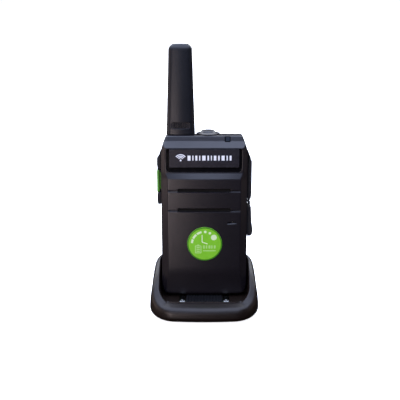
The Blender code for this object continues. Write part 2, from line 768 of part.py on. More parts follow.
def antenna_section(share):
    """The antenna's plan outline at a share of its height: a rounded rectangle."""
    width, depth = (b + (t - b) * share for b, t in zip(ANTENNA_BASE, ANTENNA_TIP))
    low = (ANTENNA_X - width / 2, ANTENNA_Y - depth / 2)
    high = (ANTENNA_X + width / 2, ANTENNA_Y + depth / 2)
    return rectangle(low, high, 2.6, 4)


def antenna_cover(frame):
    base = HEIGHT + GAP
    rings = []
    for share in (0.0, 1.0):
        height = base + (ANTENNA_TOP - base) * share
        rings.append([(p.x, p.y, height) for p in antenna_section(share)])
    body = loft(rings)
    crown = rectangle((ANTENNA_X - 7.35, 0.0), (ANTENNA_X + 7.35, ANTENNA_TOP), 3.5, 5)
    wide = rectangle((ANTENNA_X - 12.0, -10.0), (ANTENNA_X + 12.0, 158.0))
    tip = prism(crown, "Y", -9.0, 11.0)
    common(body, joined(prism(wide, "Y", -9.0, 11.0), tip))
    joined(body, antenna_neck(0.0, 100.6, base + 1.0))
    window = rectangle((ANTENNA_X - 5.9, 111.1), (ANTENNA_X + 5.9, 115.3), 1.2)
    cut(body, prism(window, "Y", -8.0, ANTENNA_Y - ANTENNA_BASE[1] / 2 + 0.75))
    cut(body, cylinder((ANTENNA_X, ANTENNA_Y), 2.6, "Z", 99.0, 158.0, 16))
    place(body, "antenna_cover", frame, "housing_plastic")


def antenna_inside(frame):
    axis = (ANTENNA_X, ANTENNA_Y)
    place(cylinder(axis, 1.2, "Z", 104.5, 156.0, 12), "antenna_core", frame, "inner_plastic")
    coil = wire(helix(axis, 1.85, 108.0, 154.0, 12, 10), 0.3)
    place(coil, "antenna_coil", frame, "brass")
    terminal = [(0, 104.2), (2.2, 104.2), (2.2, 98.6), (1.4, 98.6), (1.4, 96.0), (0, 96.0)]
    terminal = moved(revolved(terminal, 14), Matrix.Translation((*axis, 0)))
    place(terminal, "antenna_terminal", frame, "brass")


def volume_control(frame):
    to_axis = Matrix.Translation((*KNOB, 0))
    profile = [(0, 109.9), (3.4, 109.75), (4.9, 109.4), (6.6, 108.3), (KNOB_RADIUS, 107.2)]
    profile += [(KNOB_RADIUS, 105.6), (3.3, 105.6), (3.3, 108.0), (0, 108.0)]
    knob = moved(revolved(profile, 36), to_axis)
    place(knob, "volume_knob", frame, "key_rubber", (*KNOB, HEIGHT))
    shaft = cylinder(KNOB, 3.0, "Z", 99.6, 107.7, 18)
    cut(shaft, box((KNOB[0] + 2.2, -5.0, 104.0), (KNOB[0] + 5.0, 8.0, 110.0)))
    place(shaft, "knob_shaft", frame, "brass", (*KNOB, HEIGHT))
    body = box((-3.5, -3.2, 88.0), (8.5, 6.6, 98.0))
    joined(body, cylinder(KNOB, 3.7, "Z", 97.0, 103.2, 20))
    cut(body, cylinder(KNOB, 3.3, "Z", 99.2, 106.0, 20))
    place(body, "volume_switch", frame, "tinned_steel")


# ---- side pieces ----


def side_outline(low, high, run):
    """A raised side moulding seen from the front: sloped over the run at its top end."""
    outline = [(SIDE_FACE, low), (30.2, low), (30.6, low + 1.4), (31.0, low + 4.0)]
    outline += [(31.0, high - run), (SIDE_FACE + 0.5, high - 0.5), (SIDE_FACE, high)]
    return outline


def key_surround(frame):
    low, high = SIDE_BAND
    outline = [(-min(x, 30.5), z) for x, z in side_outline(61.2, 96.2, 6.0)]
    surround = prism(outline, "Y", low, high)
    for bottom, top in (TALK_KEY, *SMALL_KEYS.values()):
        window = (-34.0, low + 1.1, bottom - GAP), (-26.0, high - 1.1, top + GAP)
        cut(surround, box(*window, 1.2, "X"))
    bottom, top = TALK_KEY  # the talk key's window is open to the front
    cut(surround, box((-34.0, low - 1.0, bottom - GAP), (-26.0, low + 2.0, top + GAP)))
    place(surround, "key_surround", frame, "key_rubber")


def side_key(name, span, finish_name, frame):
    """A key cap in its window with the plunger that reaches through the housing."""
    low, high = SIDE_BAND
    bottom, top = span
    front = low + (0.2 if span == TALK_KEY else 1.1 + GAP)
    cap = box((-KEY_FACE, front, bottom), (-KEY_BACK, high - 1.1 - GAP, top), 1.0, "X")
    if top > 90.0:  # the upper key follows the slope of the surround
        slope = [(-31.5, 89.6), (-29.9, 93.6), (-31.5, 93.6)]
        cut(cap, prism(slope, "Y", low - 1.0, high + 1.0))
    plunger = (-KEY_BACK - 0.5, low + 2.4, bottom + 1.6), (-27.0, high - 2.4, top - 1.6)
    key = joined(cap, box(*plunger))
    place(key, name, frame, finish_name, (-KEY_FACE, 0.5, (bottom + top) / 2))


def side_switch(name, span, frame):
    middle = (span[0] + span[1]) / 2
    switch = box((-25.8, -1.4, middle - 1.4), (-24.6, 2.4, middle + 1.4))
    place(switch, name, frame, "tinned_steel")


def left_side(frame):
    key_surround(frame)
    side_key("talk_key", TALK_KEY, "green_rubber", frame)
    side_switch("talk_switch", TALK_KEY, frame)
    for label, span in SMALL_KEYS.items():
        side_key(f"side_key_{label}", span, "key_rubber", frame)
        side_switch(f"side_switch_{label}", span, frame)


def right_side(frame):
    low, high = SIDE_BAND
    rail = prism(side_outline(64.0, 96.2, 6.5), "Y", low, high)
    place(rail, "cover_anchor", frame, "key_rubber")
    x, z = COVER_HINGE
    hinge = cylinder(COVER_HINGE, 0.95, "Y", low + 0.6, high - 0.6, 14)
    place(hinge, "cover_hinge", frame, "key_rubber")
    outline = [(SIDE_FACE, 59.6), (30.0, 59.6), (30.9, 58.4), (31.2, 50.0), (32.0, 44.3)]
    outline += [(31.8, 41.0), (30.8, 39.4), (SIDE_FACE, 39.4)]
    cover = prism(outline, "Y", low, high)
    for _, height, radius in JACKS:
        plug = cylinder((0.5, height), radius - 0.5, "X", 27.0, SIDE_FACE + 0.5, 14)
        joined(cover, plug)
    place(cover, "jack_cover", frame, "key_rubber", (x, 0.5, z))
    block = box((19.5, -2.6, 43.0), (25.9, 3.6, 59.0))
    for _, height, radius in JACKS:
        cut(block, cylinder((0.5, height), radius - 0.3, "X", 21.0, 28.0, 14))
    place(block, "accessory_jack", frame, "inner_plastic")


# ---- belt clip ----


def belt_clip(frame):
    y, z = CLIP_PIVOT
    bracket = box((-12.0, BACK + GAP, 84.0), (12.0, BACK + GAP + 1.0, 97.0), 1.5, "Y")
    for side in (-1, 1):
        near, far = sorted((side * 9.4, side * 11.4))
        lug = [(BACK + 0.8, 86.0, 0), (y + 1.4, 87.4, 1.2), (y + 1.4, 92.6, 1.2)]
        lug += [(BACK + 0.8, 94.5, 0)]
        joined(bracket, prism(rounded(lug), "X", near, far))
    cut(bracket, cylinder(CLIP_PIVOT, 1.2, "X", -14.0, 14.0, 16))
    place(bracket, "clip_bracket", frame, "housing_plastic")
    pin = cylinder(CLIP_PIVOT, 0.9, "X", -11.9, 11.9, 14)
    place(pin, "clip_pin", frame, "spring_steel")
    line = [(y - 0.2, z + 8.6), (y - 0.2, z - 30.0), (14.6, z - 42.0), (13.8, z - 46.0)]
    line += [(14.6, z - 49.0)]
    outer = [(y + 1.6, z + 8.0), (y + 1.6, z - 30.4), (16.3, z - 42.4), (15.5, z - 46.0)]
    outer += [(16.1, z - 48.4)]
    clip = prism(line + outer[::-1], "X", -8.6, 8.6)
    shape = [(-6.8, z - 49.5, 4.0), (6.8, z - 49.5, 4.0)]
    shape += [(8.6, z + 8.6, 2.5), (-8.6, z + 8.6, 2.5)]
    common(clip, prism(rounded(shape), "Y", 0.0, 30.0))
    for side in (-1, 1):
        near, far = sorted((side * 4.0, side * 8.6))
        joined(clip, cylinder(CLIP_PIVOT, 2.0, "X", near, far, 18))
    cut(clip, cylinder(CLIP_PIVOT, 1.2, "X", -14.0, 14.0, 16))
    cut(clip, box((-4.0, y - 3.0, z - 3.0), (4.0, y + 3.0, z + 3.0)))
    place(clip, "belt_clip", frame, "housing_plastic", (0, y, z))
    to_pin = Matrix.Translation((0, y, z)) @ Matrix.Rotation(math.pi / 2, 4, "Y")
    coil = moved(wire(helix((0, 0), 1.45, -2.9, 2.9, 4, 12), 0.25), to_pin)
    place(coil, "clip_spring", frame, "spring_steel")


def main():
    for leftover in list(bpy.data.objects):
        bpy.data.objects.remove(leftover)
    cradle = frame_empty("cradle_frame", place=(0, FOOTPRINT_SHIFT, 0))
    seat = frame_empty("seat_frame", cradle, SEAT, -LEAN)
    cradle_shell(cradle)
    cradle_base(cradle)
    cradle_fasteners(cradle)
    cradle_electrics(cradle)
    contact_platform(seat)
    charge_contact("charge_contact_left", -1, seat)
    charge_contact("charge_contact_right", 1, seat)
    front_housing(seat)
    rear_housing(seat)
    housing_fasteners(seat)
    battery_case(seat)
    battery_inside(seat)
    battery_latch(seat)
    charge_pads(seat)
    front_panel_pieces(seat)
    speaker(seat)
    microphone(seat)
    inner_boards(seat)
    antenna_cover(seat)
    antenna_inside(seat)
    volume_control(seat)
    left_side(seat)
    right_side(seat)
    belt_clip(seat)


main()
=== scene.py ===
import json
import math

import bmesh
import bpy
from mathutils import Matrix, Vector


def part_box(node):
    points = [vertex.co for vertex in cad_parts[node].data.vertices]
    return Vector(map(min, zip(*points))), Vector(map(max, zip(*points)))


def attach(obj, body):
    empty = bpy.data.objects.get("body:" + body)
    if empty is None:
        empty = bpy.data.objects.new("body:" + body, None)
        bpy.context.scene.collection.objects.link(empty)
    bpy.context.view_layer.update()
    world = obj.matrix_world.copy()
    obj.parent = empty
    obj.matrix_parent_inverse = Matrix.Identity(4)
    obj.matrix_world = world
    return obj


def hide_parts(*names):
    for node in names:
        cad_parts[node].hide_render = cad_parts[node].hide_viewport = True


# A compact two-way radio in its desk charger. Pieces are drawn in millimetres, those of the
# radio in its own leaning frame (x right, y to its back, z up its height, from the middle of
# its underside) and those of the charger in the charger's frame, and then put in place.

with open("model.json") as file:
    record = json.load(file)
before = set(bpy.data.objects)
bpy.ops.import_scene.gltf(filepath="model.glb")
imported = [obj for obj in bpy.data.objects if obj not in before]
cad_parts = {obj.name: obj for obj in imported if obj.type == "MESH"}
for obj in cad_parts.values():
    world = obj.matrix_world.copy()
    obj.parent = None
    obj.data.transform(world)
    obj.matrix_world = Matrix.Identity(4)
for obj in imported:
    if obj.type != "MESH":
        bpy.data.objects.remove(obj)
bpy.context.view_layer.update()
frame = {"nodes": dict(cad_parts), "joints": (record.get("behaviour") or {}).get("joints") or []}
nodes = frame["nodes"]
joints = {joint["name"]: joint for joint in frame["joints"]}

radio = {
    "halfWidth": 28.0,
    "height": 107.0,
    "front": 13.0,  # depths, from the radio's middle plane outwards
    "back": 13.0,
    "labelFace": 11.2,
    "seam": 1.0,  # plane where the two housings meet
    "gap": 0.3,
    "bottomCorner": 7.0,
    "chin": 3.6,
    "chinFront": 11.24,  # the panel falls back to this depth at the chin
    "topEdge": 0.8,
    "frontChamfer": (8.0, 1.136),  # depth at which the side's chamfer starts, and its slope
    "backChamfer": (9.0, 1.333),
    "ledge": 79.6,  # the battery sits behind the rear housing up to here
    "ledgeDepth": 6.0,
    "crown": (0.9, 23.6),  # fall of the front panel, and how far from the middle it is reached
    "crownFade": (77.9, 83.6),  # heights between which the crown runs out
    "topFall": 1.1 / 8.5,  # slope of the top towards the back
    "posts": ((-18.5, 8.5), (18.5, 8.5)),
    "padX": 14.4,
    "knobCentre": (2.5, 1.6),
    "antennaCentre": (-15.15, 1.0),
}
cradle = {
    "halfWidth": 36.0,
    "front": -32.0,
    "rear": 24.0,
    "frontTurn": -16.0,  # where each side runs into its front corner
    "rearTurn": 6.5,
    "pocketHalfWidth": 29.5,
    "pocketFront": -25.5,
    "pocketRear": 14.6,
    "fillet": 1.6,  # between the pocket's floor and its wall
    "lip": 0.9,  # rounding of the rim's inner edge
    "rimRear": 29.6,
    "rimStart": 16.0,
    "rimLength": 41.5,
    "rimFall": (7.0, 11.0),  # an even fall to the front, and a steep one
    "rimRounding": 2.6,
    "waist": 4.4,  # height of the widest line
    # how far each wall leans in, at what height above the waist, and the power of its curve
    "lean": {"side": (3.0, 21.0, 1.6), "front": (0.8, 3.7, 1.5), "rear": (6.0, 23.0, 1.2)},
    "tuck": 3.7,  # rounding of the lower edge
    "frontBow": 2.2,  # how far the front bulges forwards at its middle
    "underside": 1.0,
    "wall": 2.0,
    "floorDrop": 1.2,
    "floorThickness": 1.6,
    "seat": (-2.2, 8.9),  # y and z of the middle of the radio's underside
}


def radioSpace():
    # the radio's frame in the row frame, from the lift joint's line and the knob's centre
    up = Vector(joints["radio_lift"]["axis"])
    right = Vector((1, 0, 0))
    turned = Matrix((right, up.cross(right), up)).transposed()
    knob = Vector((*radio["knobCentre"], radio["height"])) * 0.001
    origin = Vector(joints["volume_turn"]["pos_m"]) - turned @ knob
    return Matrix.Translation(origin) @ turned.to_4x4() @ Matrix.Scale(0.001, 4)


def cradleSpace():
    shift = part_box("cradle_shell")[1].y - cradle["rear"] * 0.001
    return Matrix.Translation((0, shift, 0)) @ Matrix.Scale(0.001, 4)


inRadio = radioSpace()
inCradle = cradleSpace()
lean = math.asin(joints["radio_lift"]["axis"][1])


# finishes

def linear(hexColour):
    # sRGB hex to the linear values that a shader takes
    channels = [int(hexColour[i:i + 2], 16) / 255 for i in (0, 2, 4)]
    straight = [c / 12.92 if c <= 0.04045 else ((c + 0.055) / 1.055) ** 2.4 for c in channels]
    return (*straight, 1.0)


def addNode(tree, kind, inputs=None, **settings):
    # a node with its settings; an input is a value, a socket or a node whose first output it is
    node = tree.nodes.new(kind)
    for name, value in settings.items():
        setattr(node, name, value)
    for name, value in (inputs or {}).items():
        if isinstance(value, bpy.types.Node):
            value = value.outputs[0]
        if isinstance(value, bpy.types.NodeSocket):
            tree.links.new(value, node.inputs[name])
        else:
            node.inputs[name].default_value = value
    return node


def surfaceFinish(name, look):
    # grain: size in mm of the moulded or rolled texture, drawn coarser than the real one so that
    # it shows; height: its depth; rough: lowest and highest roughness; speckle: the share of the
    # colour that follows the grain, while the rest drifts over some centimetres
    driftSize = 18.0
    speckle = look.get("speckle", 0.3)
    material = bpy.data.materials.new(name)
    material.use_nodes = True
    tree = material.node_tree
    shader = tree.nodes["Principled BSDF"]
    place = addNode(tree, "ShaderNodeTexCoord").outputs["Object"]
    if "stretch" in look:  # brushed and turned metals have a grain that runs one way
        place = addNode(tree, "ShaderNodeMapping", {"Vector": place, "Scale": look["stretch"]})
    grain = addNode(tree, "ShaderNodeTexNoise",
                    {"Vector": place, "Scale": 1000 / look["grain"], "Detail": 2.0})
    drift = addNode(tree, "ShaderNodeTexNoise",
                    {"Vector": place, "Scale": 1000 / driftSize, "Detail": 3.0})
    fleck = addNode(tree, "ShaderNodeMapRange",
                    {"Value": grain, "From Min": 0.35, "From Max": 0.65,
                     "To Min": 0.0, "To Max": speckle})
    share = addNode(tree, "ShaderNodeMath", {0: drift, 1: 1 - speckle, 2: fleck},
                    operation="MULTIPLY_ADD")
    colour = addNode(tree, "ShaderNodeMix",
                     {0: share, 6: linear(look["dark"]), 7: linear(look["light"])},
                     data_type="RGBA")
    low, high = look["rough"]
    rough = addNode(tree, "ShaderNodeMapRange",
                    {"Value": grain, "From Min": 0.3, "From Max": 0.7,
                     "To Min": low, "To Max": high})
    bump = addNode(tree, "ShaderNodeBump",
                   {"Height": grain, "Distance": look["height"] * 0.001,
                    "Strength": look.get("strength", 0.6)})
    tree.links.new(colour.outputs[2], shader.inputs["Base Color"])
    tree.links.new(rough.outputs["Result"], shader.inputs["Roughness"])
    tree.links.new(bump.outputs["Normal"], shader.inputs["Normal"])
    for socket, value in look.get("shader", {}).items():
        shader.inputs[socket].default_value = value
    return material

finishLooks = {
    # ABS moulded in a spark-eroded tool: near-black, dull, a fine even grain that scatters light
    "sparkMouldedAbs": {
        "dark": "0e0c10", "light": "1a171c", "grain": 0.55, "height": 0.035, "rough": (0.29, 0.4),
        "shader": {"IOR": 1.5, "Specular IOR Level": 0.42}},
    # ABS moulded in a polished tool: satin, warm black, nearly no grain, so broad highlights
    "satinMouldedAbs": {
        "dark": "130c09", "light": "1b130e", "grain": 0.8, "height": 0.012, "rough": (0.36, 0.46),
        "shader": {"IOR": 1.5, "Specular IOR Level": 0.33}},
    # unpainted inner ABS: darker and flatter than the outside
    "innerAbs": {
        "dark": "0a0a0c", "light": "131316", "grain": 0.6, "height": 0.02, "rough": (0.45, 0.6),
        "shader": {"IOR": 1.5, "Specular IOR Level": 0.32}},
    # black acrylic, polished: clear reflections in the frame around the name plate
    "polishedAcrylic": {
        "dark": "050507", "light": "0a0a0d", "grain": 1.5, "height": 0.004, "rough": (0.16, 0.24),
        "shader": {"IOR": 1.49, "Specular IOR Level": 0.12}},
    # polycarbonate film with a sparkle grain: flecks that catch the light in a near-black ground
    "sparkleFilm": {
        "dark": "0f0e13", "light": "26242b", "grain": 0.7, "height": 0.06, "rough": (0.28, 0.5),
        "speckle": 0.75, "strength": 0.8, "shader": {"IOR": 1.58, "Specular IOR Level": 0.25}},
    # opaque white screen-printing ink, a thin dull layer
    "screenInk": {
        "dark": "e6e6e6", "light": "ffffff", "grain": 0.4, "height": 0.01, "rough": (0.4, 0.55),
        "shader": {"Specular IOR Level": 0.3}},
    # thermoplastic elastomer, green, silky and a little translucent to the eye
    "greenElastomer": {
        "dark": "4c8a24", "light": "67a636", "grain": 0.5, "height": 0.02, "rough": (0.45, 0.6),
        "shader": {"IOR": 1.5, "Specular IOR Level": 0.4, "Sheen Weight": 0.1}},
    # moulded silicone rubber, dead matt, holds a little dust
    "mattRubber": {
        "dark": "161415", "light": "242122", "grain": 0.6, "height": 0.03, "rough": (0.6, 0.78),
        "shader": {"IOR": 1.45, "Specular IOR Level": 0.4, "Sheen Weight": 0.05}},
    # printed vinyl film: bright leaf green with a soft gloss
    "printedVinyl": {
        "dark": "7ac628", "light": "8cd236", "grain": 2.0, "height": 0.01, "rough": (0.3, 0.4),
        "shader": {"IOR": 1.5, "Specular IOR Level": 0.35}},
    # the darker green line printed round the film's edge
    "edgeInk": {
        "dark": "3a7d12", "light": "489016", "grain": 1.0, "height": 0.006, "rough": (0.35, 0.45),
        "shader": {"Specular IOR Level": 0.35}},
    # pale ink over green, the film's pictures
    "paleInk": {
        "dark": "d3efa4", "light": "ecfad2", "grain": 0.5, "height": 0.006, "rough": (0.35, 0.5),
        "shader": {"Specular IOR Level": 0.3}},
    # the same ink printed thin, so that the green shows through
    "thinInk": {
        "dark": "a6da6c", "light": "bbe58a", "grain": 0.5, "height": 0.006, "rough": (0.35, 0.5),
        "shader": {"Specular IOR Level": 0.3}},
    # smoke-tinted acrylic light guide: almost black while off, glossy
    "smokedLens": {
        "dark": "0c1118", "light": "1a222d", "grain": 1.2, "height": 0.003, "rough": (0.06, 0.12),
        "shader": {"IOR": 1.49, "Specular IOR Level": 0.25, "Coat Weight": 0.1}},
    # bright nickel plate over phosphor bronze: pale, slightly warm, sharp highlights
    "nickelPlate": {
        "dark": "585856", "light": "7c7c78", "grain": 0.5, "height": 0.004, "rough": (0.2, 0.34),
        "shader": {"Metallic": 1.0}},
    # turned brass with its fine lathe lines
    "turnedBrass": {
        "dark": "a5873f", "light": "c9ab62", "grain": 0.4, "height": 0.006, "rough": (0.24, 0.38),
        "stretch": (1.0, 1.0, 5.0), "shader": {"Metallic": 1.0}},
    # zinc-plated steel, cold grey with a faint mottle
    "zincSteel": {
        "dark": "84868a", "light": "b2b3b6", "grain": 0.6, "height": 0.006, "rough": (0.28, 0.42),
        "shader": {"Metallic": 1.0}},
    # tinned sheet steel, rolled: a soft grain along the sheet
    "tinnedSheet": {
        "dark": "96989a", "light": "bfc1c2", "grain": 0.6, "height": 0.004, "rough": (0.25, 0.4),
        "stretch": (1.0, 1.0, 6.0), "shader": {"Metallic": 1.0}},
    # glass-epoxy board under green solder mask
    "solderMask": {
        "dark": "0f3f22", "light": "1d6336", "grain": 0.9, "height": 0.015, "rough": (0.3, 0.45),
        "speckle": 0.6, "shader": {"IOR": 1.55}},
    # bars seen through the speaker slots, with a fibrous grain: near-black and dull, painted shade
    # that stands in for the dark inside of the slots
    "paintedSlotShade": {
        "dark": "050506", "light": "0e0e10", "grain": 0.3, "height": 0.05, "rough": (0.85, 0.95),
        "speckle": 0.6, "shader": {"Specular IOR Level": 0.1}},
    # thermoplastic polyurethane moulded over the antenna: fine spark grain, a little softer
    "overmouldedPolyurethane": {
        "dark": "0b0c10", "light": "16171c", "grain": 0.55, "height": 0.035, "rough": (0.32, 0.43),
        "shader": {"IOR": 1.5, "Specular IOR Level": 0.34}},
    # pressed paper and felt: black, fibrous, no gloss
    "pressedPaper": {
        "dark": "0b0b0b", "light": "1a1917", "grain": 0.35, "height": 0.08, "rough": (0.8, 0.95),
        "speckle": 0.6, "shader": {"Specular IOR Level": 0.2, "Sheen Weight": 0.2}},
    # sintered ferrite: dark grey ceramic with a granular face
    "sinteredFerrite": {
        "dark": "262423", "light": "3a3735", "grain": 0.45, "height": 0.03, "rough": (0.5, 0.7)},
    # shrink film round the cell, with soft wrinkles
    "shrinkFilm": {
        "dark": "2c5b8c", "light": "3d72a8", "grain": 3.0, "height": 0.08, "rough": (0.25, 0.4)},
}
finishes = {name: surfaceFinish(name, look) for name, look in finishLooks.items()}
print("mixed", len(finishes), "finishes")


# outlines and solids, in millimetres

def roundedLine(corners, steps=8, closed=True):
    # a line through (u, v, radius) corners, each turned by an arc of its radius
    line = []
    last = len(corners) - 1
    for i, (u, v, radius) in enumerate(corners):
        here = Vector((u, v))
        if radius == 0 or (not closed and i in (0, last)):
            line.append(here)
            continue
        before = (Vector(corners[i - 1][:2]) - here).normalized()
        after = (Vector(corners[(i + 1) % len(corners)][:2]) - here).normalized()
        half = before.angle(after) / 2
        centre = here + (before + after).normalized() * (radius / math.sin(half))
        start = here + before * (radius / math.tan(half)) - centre
        end = here + after * (radius / math.tan(half)) - centre
        first = math.atan2(start.y, start.x)
        turn = math.remainder(math.atan2(end.y, end.x) - first, math.tau)
        for step in range(steps + 1):
            angle = first + turn * step / steps
            line.append(centre + Vector((math.cos(angle), math.sin(angle))) * radius)
    return line


def quarterTurn(steps):
    # angles from 0 to a right angle
    return [math.pi / 2 * i / steps for i in range(steps + 1)]


def rectangle(left, bottom, right, top, radius=0.0, steps=8):
    corners = [(left, bottom), (right, bottom), (right, top), (left, top)]
    return roundedLine([(*corner, radius) for corner in corners], steps)


def circle(centre, radius, steps=48):
    angles = [math.tau * i / steps for i in range(steps)]
    return [Vector(centre) + Vector((math.cos(a), math.sin(a))) * radius for a in angles]


def solidFrom(mesh, name="solid", recalculate=True):
    if recalculate:
        bmesh.ops.recalc_face_normals(mesh, faces=mesh.faces)
    data = bpy.data.meshes.new(name)
    mesh.to_mesh(data)
    mesh.free()
    solid = bpy.data.objects.new(name, data)
    bpy.context.scene.collection.objects.link(solid)
    return solid


def loft(rings, closedAlong=False):
    # a skin over rings of equally many points, capped at both ends or joined end to start
    mesh = bmesh.new()
    loops = [[mesh.verts.new(point) for point in ring] for ring in rings]
    pairs = list(zip(loops, loops[1:]))
    if closedAlong:
        pairs.append((loops[-1], loops[0]))
    for loop, other in pairs:
        for i in range(len(loop)):
            n = (i + 1) % len(loop)
            mesh.faces.new((loop[i], loop[n], other[n], other[i]))
    if not closedAlong:
        mesh.faces.new(loops[0])
        mesh.faces.new(loops[-1])
    return solidFrom(mesh)


def prism(outline, axis, low, high):
    # the outline, drawn across the axis, from low to high
    k = "XYZ".index(axis)
    rings = []
    for level in (low, high):
        ring = []
        for u, v in outline:
            point = [u, v]
            point.insert(k, level)
            ring.append(point)
        rings.append(ring)
    return loft(rings)


def block(low, high, radius=0.0, axis="Z"):
    k = "XYZ".index(axis)
    i, j = [n for n in range(3) if n != k]
    return prism(rectangle(low[i], low[j], high[i], high[j], radius), axis, low[k], high[k])


def turned(profile, steps=48):
    # (radius, height) points turned about Z; a profile that leaves the axis closes on itself
    mesh = bmesh.new()
    rings = []
    for radius, height in profile:
        count = steps if radius > 0 else 1
        angles = [math.tau * i / steps for i in range(count)]
        rings.append([mesh.verts.new((radius * math.cos(a), radius * math.sin(a), height))
                      for a in angles])
    pairs = list(zip(rings, rings[1:]))
    if profile[0][0] > 0:
        pairs.append((rings[-1], rings[0]))
    for ring, other in pairs:
        for i in range(steps):
            n = (i + 1) % steps
            corners = [ring[i % len(ring)], ring[n % len(ring)]]
            corners += [other[n % len(other)], other[i % len(other)]]
            mesh.faces.new(list(dict.fromkeys(corners)))
    return solidFrom(mesh)


def evaluatedMesh(thing):
    graph = bpy.context.evaluated_depsgraph_get()
    return bpy.data.meshes.new_from_object(thing.evaluated_get(graph))


def settle(thing):
    # the modifiers' result becomes the thing's own mesh
    data = evaluatedMesh(thing)
    thing.modifiers.clear()
    thing.data = data
    return thing


def carve(thing, *others, operation="DIFFERENCE"):
    for other in others:
        tool = thing.modifiers.new("carve", "BOOLEAN")
        tool.operation = operation
        tool.object = other
        settle(thing)
        bpy.data.objects.remove(other)
    return thing


def cleaned(thing, angle=0.5):
    # flat neighbours become one face, so that a bevel meets only real edges
    mesh = bmesh.new()
    mesh.from_mesh(thing.data)
    bmesh.ops.remove_doubles(mesh, verts=mesh.verts, dist=0.002)
    bmesh.ops.dissolve_limit(mesh, angle_limit=math.radians(angle),
                             verts=mesh.verts, edges=mesh.edges)
    mesh.to_mesh(thing.data)
    mesh.free()
    return thing


def softened(thing, width, segments=3, angle=35):
    bevel = thing.modifiers.new("soften", "BEVEL")
    bevel.width = width
    bevel.segments = segments
    bevel.limit_method = "ANGLE"
    bevel.angle_limit = math.radians(angle)
    bevel.use_clamp_overlap = False
    return settle(thing)


def moved(thing, matrix):
    thing.data.transform(matrix)
    return thing


def shifted(thing, place):
    return moved(thing, Matrix.Translation(place))


def solidCopy(node, space):
    # the solid of a CAD node, merged, in millimetres of its frame
    mesh = bmesh.new()
    mesh.from_mesh(nodes[node].data)
    bmesh.ops.remove_doubles(mesh, verts=mesh.verts, dist=0.000002)
    bmesh.ops.transform(mesh, matrix=space.inverted(), verts=mesh.verts)
    return cleaned(solidFrom(mesh, recalculate=False))


def finished(thing, name, space, body, finish, slotName, replaced=(), sharp=40):
    # names a piece, puts it in place in metres, in its finish, and hangs it on its body
    thing.data.transform(space)
    thing.name = name
    thing.data.name = name
    thing.data.materials.clear()
    thing.data.materials.append(finishes[finish])
    thing.data.shade_smooth()
    thing.data.set_sharp_from_angle(angle=math.radians(sharp))
    even = thing.modifiers.new("evenShading", "WEIGHTED_NORMAL")
    even.keep_sharp = True
    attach(thing, body)
    if replaced:
        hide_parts(*replaced)
    return thing


# the two housings and the battery case: rings stacked up the height

def valueAt(line, place):
    # height along a line of points that runs from low to high
    for (u, v), (nextU, nextV) in zip(line, line[1:]):
        if place <= nextU:
            return v + (nextV - v) * max(place - u, 0.0) / max(nextU - u, 0.000001)
    return line[-1][1]


# outlines up the height: (height, distance from the middle, radius of the turn)
wide, tall, flat = radio["halfWidth"], radio["height"], radio["labelFace"]
sideLine = roundedLine([(radio["bottomCorner"], wide, 0), (97.5, wide, 5.0),
                        (102.0, wide - 1.4, 5.0), (tall, wide - 3.5, 0)], closed=False)
frontLine = roundedLine([(radio["chin"], radio["chinFront"], 0), (18.0, radio["front"], 60.0),
                         (79.9, radio["front"], 1.2), (83.6, flat, 1.2), (100.0, flat, 1.2),
                         (103.6, flat - 4.0, 1.4), (tall, flat - 5.0, 0)], closed=False)
backLine = roundedLine([(radio["ledge"], radio["back"], 0), (101.93, radio["back"], 2.5),
                        (tall, radio["back"] - 3.5, 0)], closed=False)


def roundedFoot(z, radius, reach):
    # distance from the middle at a height below the turn into the underside
    return reach - radius + math.sqrt(radius**2 - (radius - z) ** 2)


def halfWidthAt(z):
    corner = radio["bottomCorner"]
    return roundedFoot(z, corner, radio["halfWidth"]) if z < corner else valueAt(sideLine, z)


def frontAt(z):
    chin = radio["chin"]
    return roundedFoot(z, chin, radio["chinFront"]) if z < chin else valueAt(frontLine, z)


def backAt(z):
    return radio["ledgeDepth"] if z <= radio["ledge"] else valueAt(backLine, z)


def batteryBackAt(z):
    chin = battery["chin"]
    return roundedFoot(z, chin, radio["back"]) if z < chin else radio["back"]


def crownDrop(x, z=0.0):
    # how far the gently crowned front panel falls back from its middle line
    fall, reach = radio["crown"]
    low, high = radio["crownFade"]
    share = max(0.0, min(1.0, (high - z) / (high - low)))
    return fall * share * (x / reach) ** 2


def planRingOf(halfWidth, depth, seam, chamfer):
    # plan outline from the seam plane outwards: side, chamfer, face
    turn, slope = chamfer
    bend = max(min(turn + (radio["halfWidth"] - halfWidth) * slope, depth - 0.9), seam + 0.1)
    face = min(radio["halfWidth"] - (depth - turn) / slope, halfWidth - 0.9)
    corner = min(2.2, 1.1 * math.hypot(halfWidth - face, depth - bend))
    half = roundedLine([(halfWidth, seam, 0), (halfWidth, bend, corner),
                        (face, depth, corner * 0.8), (0, depth, 0)], 6, closed=False)
    columns = 10
    last = half[-2]
    half[-1:] = [Vector((last.x * (1 - k / columns), depth)) for k in range(1, columns + 1)]
    return half + [Vector((-p.x, p.y)) for p in reversed(half[:-1])]


